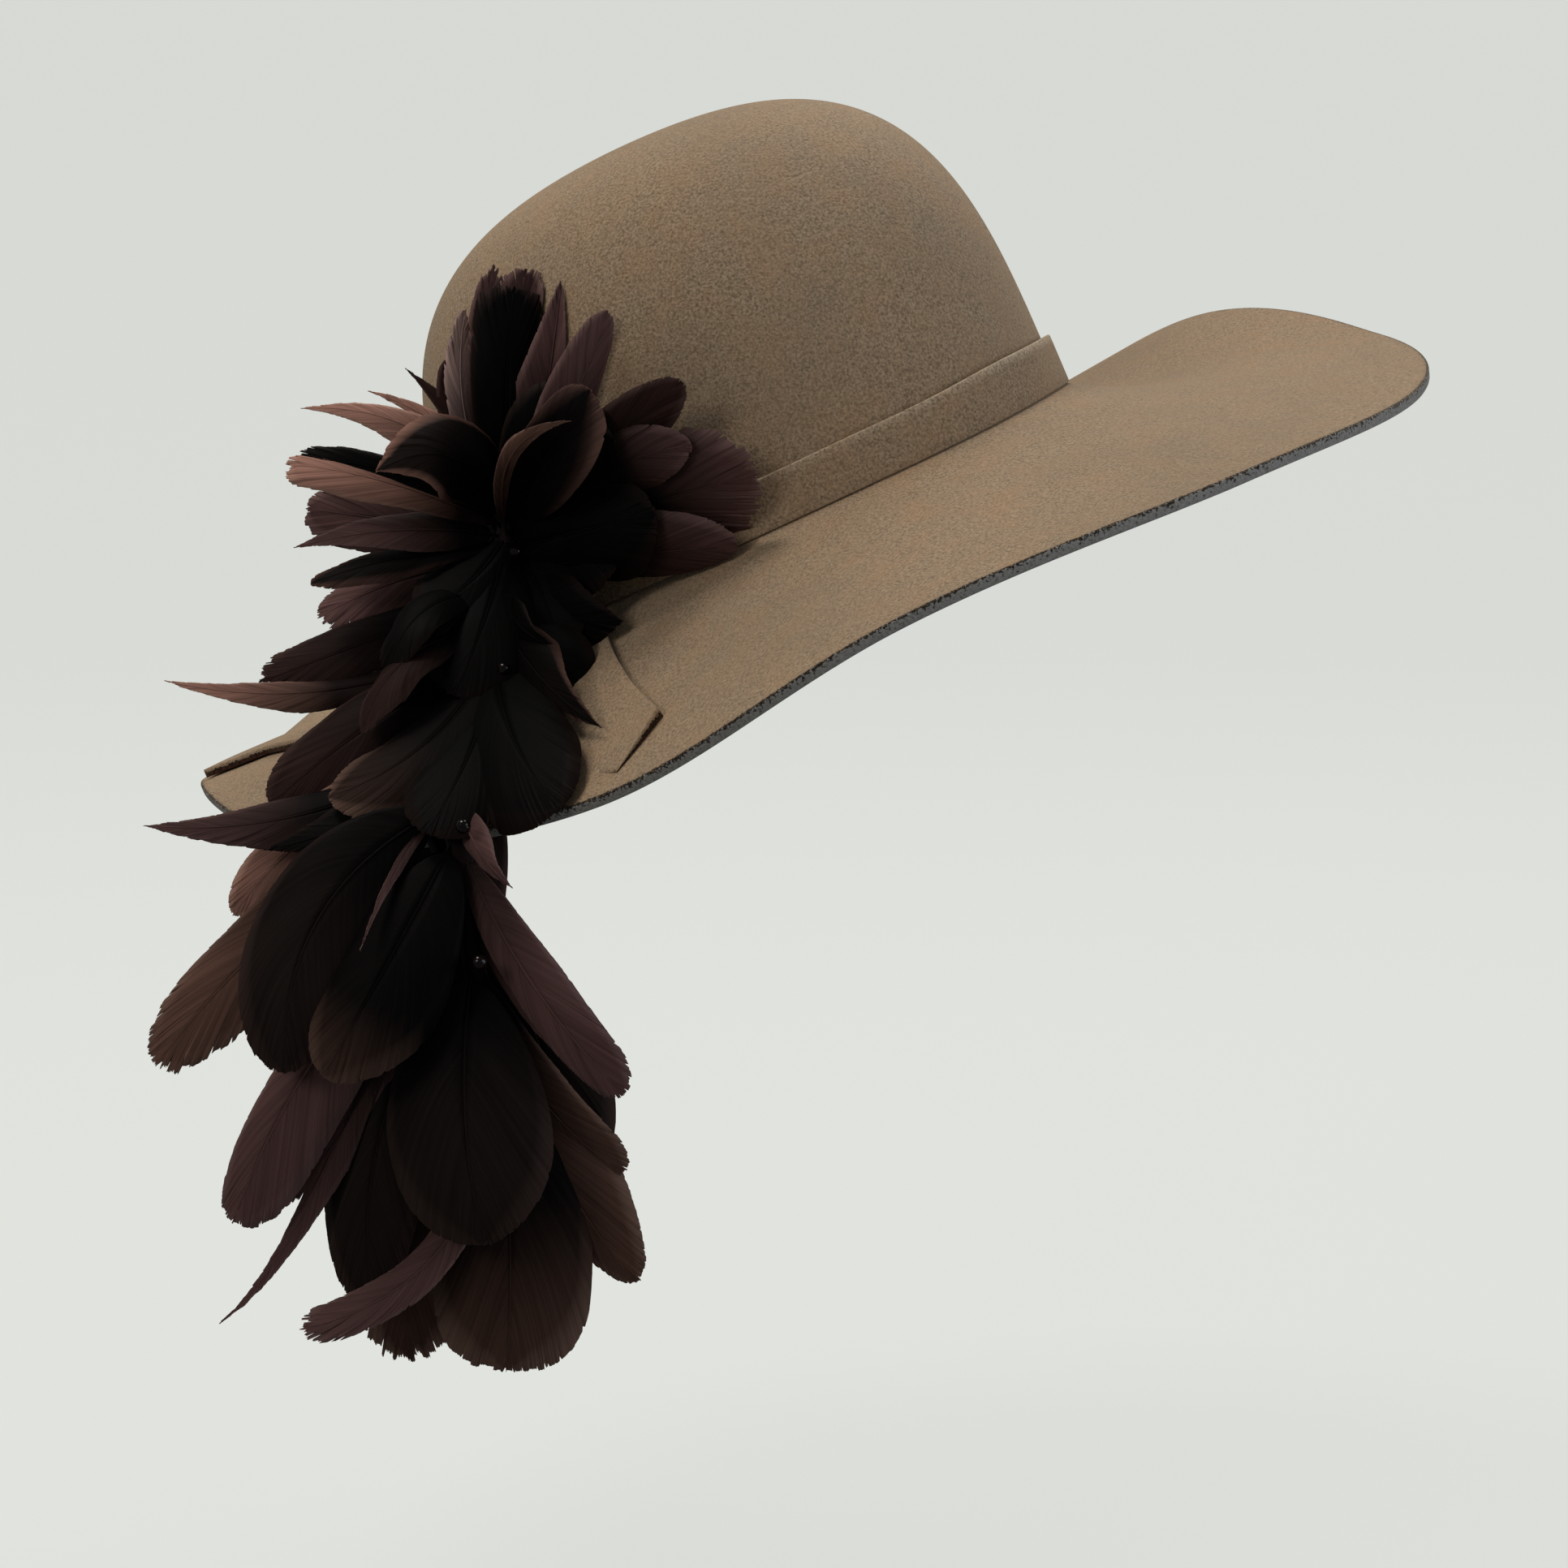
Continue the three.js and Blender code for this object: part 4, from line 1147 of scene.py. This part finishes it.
@dataclass
class FeatherCascade:
    """Feathers bound to a hanging stem, made barb by barb so that their edges notch and fray."""

    stem: Tuple[Triple, ...] = (
        (-76, -3, 62), (-79, -43, 82), (-85, -85, 134), (-80, -123, 134), (-76, -157, 128))
    form: HatForm = FORM
    barb_pitch: float = 0.62
    least_barbs: int = 36
    points_on_barb: int = 7
    barb_open: float = 68.0
    barb_close: float = 14.0
    barb_settle: float = 0.2
    halvings: int = 18
    quill_end: float = 0.08
    quill_half: float = 0.9
    vane_end: float = 0.994
    vane_thickness: float = 0.22
    lock_least: int = 3
    lock_most: int = 12
    lock_slip: float = 0.006
    lock_turn: float = 0.05
    ripple: float = 0.5
    notch_chance: float = 0.4
    least_cut: float = 0.12
    most_cut: float = 0.5
    vane_clear: float = 1.2
    shaft_root: float = 0.45
    shaft_tip: float = 0.1
    shaft_end: float = 0.96
    shaft_rings: int = 26
    shaft_clear: float = 1.5
    stem_radius: float = 3.2
    stem_waver: float = 0.35
    stem_rings: int = 40
    stem_sides: int = 12
    stem_clear: float = 0.8
    stem_dye: str = "#1a1010"
    rod_sides: int = 6
    thread: float = 0.3
    tip_dye_reach: float = 0.5
    # How strongly the painted highlight is mixed in along the rim
    rim_highlight_strength: float = 0.7
    seed: int = 11

    def stem_point(self, station: float) -> Array:
        """Find a place along the stem.

        Args:
            station: 0 at the stem's first point, 1 at its second and so on.

        Returns:
            The place in the worn frame.
        """
        low = min(int(station), len(self.stem) - 2)
        near = LAYOUT.place(*self.stem[low])
        far = LAYOUT.place(*self.stem[low + 1])
        return near + (far - near) * (station - low)

    def lean(self, feather: Feather, start: Array) -> Array:
        """Find how far barbs lean towards the tip.

        They stand out wide near the quill and lie closer to the shaft towards the tip.

        Args:
            feather: the feather.
            start: where each barb leaves the shaft, as a share of the length.

        Returns:
            The share of the length that each barb gains for a millimetre sideways.
        """
        opened = np.exp(-(start - self.quill_end) / self.barb_settle)
        angle = np.radians(self.barb_close + (self.barb_open - self.barb_close) * opened)
        return 1 / np.tan(angle) / feather.length

    def barb_reach(self, feather: Feather, side: int, start: Array, lean: Array) -> Array:
        """Find how far sideways each barb runs before it meets the vane's outline.

        Args:
            feather: the feather.
            side: 1 or -1.
            start: where each barb leaves the shaft, as a share of the length.
            lean: share of the length that each barb gains for each millimetre sideways.

        Returns:
            The sideways reach of each barb in millimetres.
        """
        low = np.zeros_like(start)
        high = np.full_like(start, feather.width)
        wider = 1 + side * feather.uneven()
        for _ in range(self.halvings):
            middle = (low + high) / 2
            outline = feather.half_width(start + lean * middle, self.quill_end, self.quill_half)
            inside = outline * wider > middle
            low = np.where(inside, middle, low)
            high = np.where(inside, high, middle)
        return low

    def fringe(
        self, feather: Feather, near_tip: Array, run: Array, lock: Array, rng: np.random.Generator,
    ) -> Array:
        """Give how much of its full run each barb keeps, less and less even towards the tip.

        Args:
            feather: the feather.
            near_tip: how near to the tip each barb ends, from 0 to 1.
            run: each barb's full length in millimetres.
            lock: the number of the lock that each barb clings to.
            rng: the random source.

        Returns:
            A share for each barb.
        """
        depth = feather.tip.value[-1]
        tufts = rng.random(lock[-1] + 1)[lock] ** 1.5
        notch = np.append(lock[1:] != lock[:-1], False) & (rng.random(len(run)) < self.notch_chance)
        uneven = 0.7 * tufts + 0.3 * rng.random(len(run)) + 1.2 * notch
        cut = (self.least_cut + depth * near_tip) * uneven
        return 1 - np.clip(cut / np.maximum(run, 1.0), 0, self.most_cut)

    def plume_share(self, feather: Feather, t: Array) -> Array:
        """Give how far the tip's colour has set in at shares `t` of the length."""
        # Before the tip's colour sets in the feather keeps its quill colour, partly dye and partly painted
        # shade where the feathers crowd at the stem
        return np.clip((t - feather.fade) / self.tip_dye_reach, 0, 1)

    def dyed(self, feather: Feather, t: Array, q: Array, rng: np.random.Generator) -> Array:
        """Give the colour of each point of a vane: its dye, with painted shade towards the quill and a
        painted highlight along the rim.

        Args:
            feather: the feather.
            t: share of the feather's length at each point of each barb.
            q: share of the barb at each of its points.
            rng: the random source.

        Returns:
            Linear colours with alpha, an entry for each point.
        """
        quill, tip, rim = [np.array(linear(colour)) for colour in feather.dye.value]
        count = len(t)
        share = (self.plume_share(feather, t) * (0.85 + 0.15 * q))[..., None]
        tint = 0.82 + 0.28 * slow_random(count, 7, rng) + 0.08 * rng.standard_normal(count)
        plume = (quill + (tip * feather.shade - quill) * share) * tint[:, None, None]
        # Painted highlight along the rim of each vane, where its edge catches the light
        edge = np.clip((q - 1 + feather.rim) / feather.rim, 0, 1) ** 1.5
        plume = plume + (rim - plume) * (self.rim_highlight_strength * share * edge[None, :, None])
        plume[..., 3] = 1.0
        return plume

    def add_vane(self, parts: MeshParts, feather: Feather, side: int, rng: np.random.Generator) -> None:
        """Add the vane on one side of the shaft.

        Args:
            parts: the mesh that it goes into.
            feather: the feather.
            side: 1 or -1.
            rng: the random source.
        """
        root = self.stem_point(feather.station)
        count = max(self.least_barbs, int(feather.length / self.barb_pitch))
        start = np.linspace(self.quill_end, self.vane_end, count)
        lean = self.lean(feather, start)
        reach = self.barb_reach(feather, side, start, lean)
        near_tip = np.clip((start + lean * reach - 0.45) / 0.55, 0, 1) ** 1.5
        lock = np.repeat(np.arange(count), rng.integers(self.lock_least, self.lock_most, count))[:count]
        run = reach * np.sqrt(1 + (lean * feather.length) ** 2)
        reach = reach * self.fringe(feather, near_tip, run, lock, rng)
        slip = self.lock_slip * (rng.random(lock[-1] + 1)[lock] - 0.5) * near_tip
        q = np.linspace(0, 1, self.points_on_barb)
        x = reach[:, None] * q
        t = start[:, None] + lean[:, None] * x * (0.65 + 0.35 * q) + slip[:, None] * q ** 2
        across, normal = feather.cross(t, self.twist(feather))
        full = feather.width / 2
        fold = feather.fold * (1.0 if side > 0 else 0.5)
        u = x / full
        fall = full * feather.cup * (0.35 * u ** 2 + 0.65 * u ** 4) + math.copysign(fold, feather.cup) * x
        wave = np.sin(2 * math.pi * (t * 2.3 + 0.37 * side + feather.aim / 57))
        # Each lock turns a little on its own, so that one catches the light and the next doesn't
        within = np.arange(count) - np.searchsorted(lock, lock)
        tilt = rng.normal(0, self.lock_turn, lock[-1] + 1)[lock] * (within - 3) * (0.3 + 0.7 * near_tip)
        lift = tilt[:, None] + self.lock_turn * rng.standard_normal((count, 1))
        ripple = self.ripple * wave * u ** 2 + lift * q ** 2
        points = (feather.line(root, t) + across * (side * x)[..., None]
                  + (ripple - fall)[..., None] * normal)
        faces = []
        m = self.points_on_barb
        for i in range(count - 1):
            for j in range(m - 1):
                a = i * m + j
                quad = (a, a + 1, a + m + 1, a + m)
                faces.append(quad if side > 0 else quad[::-1])
        parts.add(
            self.form.keep_outside(points.reshape(-1, 3), self.vane_clear), faces,
            plume=self.dyed(feather, t, q, rng).reshape(-1, 4),
            barb=np.repeat(start * feather.length + 40 * side + 7 * feather.aim, m),
            across=np.tile(q, count) * full)

    def twist(self, feather: Feather) -> float:
        """Give a feather's slight turn from quill to tip, different for each."""
        return 9.0 * math.sin(feather.aim * 1.7 + feather.length)

    def add_shaft(self, parts: MeshParts, feather: Feather) -> None:
        """Add the horny shaft, a fine tapered rod along the middle of the vane.

        Args:
            parts: the mesh that it goes into.
            feather: the feather.
        """
        root = self.stem_point(feather.station)
        t = np.linspace(0.0, self.shaft_end, self.shaft_rings)
        line = self.form.keep_outside(feather.line(root, t), self.shaft_clear)
        across, normal = feather.cross(t, self.twist(feather))
        radius = self.shaft_root + (self.shaft_tip - self.shaft_root) * t ** 0.7
        sides = self.rod_sides
        points = line[:, None] + circle(sides, across[:, None], normal[:, None]) * radius[:, None, None]
        faces = ring_faces(len(t), sides, caps=True)
        # The shaft takes the vane's colours, with the same painted shade towards the quill
        quill, tip, _ = [np.array(linear(colour)) for colour in feather.dye.value]
        taken = self.plume_share(feather, t)[:, None]
        plume = np.repeat(quill + (tip * feather.shade - quill) * taken, sides, axis=0)
        parts.add(points.reshape(-1, 3), faces, plume=plume, barb=np.repeat(t * 3, sides),
                  across=np.zeros(len(t) * sides))

    def build_group(
        self, name: str, rows: Sequence[Feather], finish: Material, rng: np.random.Generator,
    ) -> Object:
        """Make one group of feathers.

        Args:
            name: the piece's name.
            rows: its feathers.
            finish: the feather material.
            rng: the random source.

        Returns:
            The piece, one of those that stand for `feather_cascade`.
        """
        parts = MeshParts()
        for feather in rows:
            for side in (1, -1):
                self.add_vane(parts, feather, side, rng)
            self.add_shaft(parts, feather)
        group = new_object(name, np.concatenate(parts.points), parts.faces, finish, parts.values())
        shell = group.modifiers.new("vane thickness", "SOLIDIFY")
        shell.thickness = self.vane_thickness * MM
        shell.offset = 0.0
        return finish_piece(group, ["feather_cascade"])

    def build_stem(self, finish: Material, beads: Sequence[Array]) -> Object:
        """Make the bound stem that the quills run into, with a thread from it to each bead.

        Args:
            finish: the feather material.
            beads: the middle of each bead.

        Returns:
            The piece, one of those that stand for `feather_cascade`.
        """
        rings, sides = self.stem_rings, self.stem_sides
        stations = np.linspace(0, len(self.stem) - 1.001, rings)
        centres = np.array([self.stem_point(station) for station in stations])
        right, up, out = LAYOUT.axes()
        wrap = self.stem_radius + self.stem_waver * np.sin(np.arange(rings) * 2.4)
        points = (centres[:, None] + circle(sides, right, out) * wrap[:, None, None]).reshape(-1, 3)
        faces = ring_faces(rings, sides, caps=True)
        thread = self.thread * circle(self.rod_sides, right, up)
        for bead in beads:
            root = centres[np.argmin(np.linalg.norm(centres - bead, axis=1))]
            faces.extend(ring_faces(2, self.rod_sides, caps=True, first=len(points)))
            points = np.concatenate([points, root + thread, bead + thread])
        count = len(points)
        values = {
            "plume": np.tile(np.array(linear(self.stem_dye)), (count, 1)),
            "barb": np.arange(count) * 0.3,
            "across": np.zeros(count),
        }
        points = self.form.keep_outside(points, self.stem_clear)
        stem = new_object("feather_stem", points, faces, finish, values)
        return finish_piece(stem, ["feather_cascade"])

    def build(self, finish: Material, beads: Sequence[Array]) -> List[Object]:
        """Make every group of feathers, and the stem with its threads to the beads.

        Args:
            finish: the feather material.
            beads: the middle of each bead.

        Returns:
            The pieces that stand for `feather_cascade`.
        """
        rng = np.random.default_rng(self.seed)
        groups = [self.build_group(name, rows, finish, rng) for name, rows in FEATHERS.items()]
        return groups + [self.build_stem(finish, beads)]


@dataclass
class Beads:
    """Four faceted glass beads, one at the heart of each cluster."""

    radius: float = 2.0
    places: Dict[str, Triple] = field(default_factory=lambda: {
        "bead_crown": (-73.0, -12.0, 80.0),
        "bead_brim": (-75.0, -45.0, 98.0),
        "bead_edge": (-82.0, -87.0, 146.0),
        "bead_tail": (-77.5, -122.0, 150.0),
    })

    def middles(self) -> List[Array]:
        """Give the middle of each bead in the worn frame."""
        return [LAYOUT.place(*place) for place in self.places.values()]

    def build(self, glass: Material) -> List[Object]:
        """Make the beads.

        Args:
            glass: their finish.

        Returns:
            The beads, each of which stands for its own node.
        """
        made = []
        for node, place in self.places.items():
            bpy.ops.mesh.primitive_ico_sphere_add(subdivisions=3, radius=self.radius * MM)
            source = bpy.context.object
            points = np.array([v.co[:] for v in source.data.vertices]) / MM + LAYOUT.place(*place)
            faces = [tuple(p.vertices) for p in source.data.polygons]
            bpy.data.objects.remove(source, do_unlink=True)
            bead = new_object(f"{node}_glass", points, faces, glass, smooth=False)
            made.append(finish_piece(bead, [node]))
        return made


@dataclass(frozen=True)
class Lamp:
    """A square soft lamp that points at the hat.

    `place` is right, up and out in the layout frame, in metres, and `size` the side of its face.
    """

    name: str
    place: Triple
    size: float
    watts: float
    colour: str


LAMPS = (
    Lamp(name="key at the left of the camera",
         place=(-1.3, 0.6, 1.5), size=0.6, watts=8.0, colour="#fffaf5"),
    Lamp(name="key high on the left",
         place=(-0.8, 1.8, 0.2), size=0.65, watts=18.5, colour="#fffaf5"),
    Lamp(name="rim high behind",
         place=(0.3, 1.9, -1.0), size=1.2, watts=19.0, colour="#fffaf5"),
    Lamp(name="fill on the right",
         place=(1.7, 0.3, 0.6), size=1.2, watts=13.0, colour="#e6eefa"),
)
ROOM_LIGHT = 0.23


@dataclass
class Studio:
    """Pale paper all round, soft lamps and the camera."""

    floor_z: float = -0.322
    floor_radius: float = 2.6
    cove_radius: float = 1.2
    wall_height: float = 3.4
    floor_rings: Column = (0.02, 0.4, 1.2)
    cove_steps: int = 16
    around: int = 96
    camera_right: float = 1.0
    camera_up: float = -76.0
    camera_out: float = 1150.0
    lens: float = 89.09
    sensor: float = 36.0

    def build_camera(self) -> Object:
        """Make the camera at the photograph's viewing angle.

        Returns:
            The camera, set as the scene's own.
        """
        data = bpy.data.cameras.new("camera")
        data.lens = self.lens
        data.sensor_width = self.sensor
        camera = link_object("camera", data)
        turn = Matrix(LAYOUT.axes().T.tolist()).to_4x4()
        place = LAYOUT.place(self.camera_right, self.camera_up, self.camera_out) * MM
        camera.matrix_world = Matrix.Translation(place.tolist()) @ turn
        bpy.context.scene.camera = camera
        return camera

    def build_paper(self, paper: Material) -> Object:
        """Make the floor, which curves up into a round wall and neither lights the hat nor shows in it.

        Args:
            paper: its finish.

        Returns:
            The floor.
        """
        bend = np.radians(np.linspace(0, 90, self.cove_steps))
        radii = np.concatenate([self.floor_rings, self.floor_radius + self.cove_radius * np.sin(bend),
                                [self.floor_radius + self.cove_radius]])
        heights = np.concatenate([np.zeros(len(self.floor_rings)), self.cove_radius * (1 - np.cos(bend)),
                                  [self.wall_height]])
        right, ahead, up = np.eye(3)
        ring = circle(self.around, right, ahead)
        points = np.concatenate([r * ring + (h + self.floor_z) * up for r, h in zip(radii, heights)]) / MM
        faces = ring_faces(len(radii), self.around)
        faces.append(tuple(range(self.around))[::-1])
        floor = new_object("studio_paper", points, [face[::-1] for face in faces], paper)
        floor.visible_diffuse = False
        floor.visible_glossy = False
        floor.visible_shadow = False
        return floor

    def add_lamp(self, lamp: Lamp) -> None:
        """Add one lamp, turned to the hat.

        Args:
            lamp: its place, size, power and colour.
        """
        data = bpy.data.lights.new(lamp.name, "AREA")
        data.energy = lamp.watts
        data.color = linear(lamp.colour)[:3]
        data.size = lamp.size
        where = Vector(LAYOUT.place(*lamp.place).tolist())
        turn = where.to_track_quat("Z", "Y").to_matrix().to_4x4()
        link_object(lamp.name, data).matrix_world = Matrix.Translation(where) @ turn

    def build_lights(self) -> None:
        """Add the lamps and the even light of a white room."""
        for lamp in LAMPS:
            self.add_lamp(lamp)
        world = bpy.data.worlds.new("white room")
        world.use_nodes = True
        world.node_tree.nodes.clear()
        sky = add_node(world.node_tree, "ShaderNodeBackground", inputs={
            "Color": linear("#e8eef2"), "Strength": ROOM_LIGHT})
        add_node(world.node_tree, "ShaderNodeOutputWorld", inputs={"Surface": sky.outputs[0]})
        bpy.context.scene.world = world
        bpy.context.scene.view_settings.view_transform = "Standard"


def main() -> None:
    """Build the studio and the hat in order."""
    studio = Studio()
    studio.build_camera()
    studio.build_paper(StudioPaper().build())
    studio.build_lights()
    felt = WoolFelt().build()
    FeltHat().build(felt)
    HatBand().build(felt)
    FeltTie().build(WoolFelt(name="brushed wool felt, cut edge", dyed="#3a2219", dyed_pale="#5a3a2c").build())
    beads = Beads()
    FeatherCascade().build(GooseFeather().build(), beads.middles())
    beads.build(FacetedGlass().build())


if __name__ == "__main__":
    logging.basicConfig(level=logging.INFO, format="%(message)s")
    main()
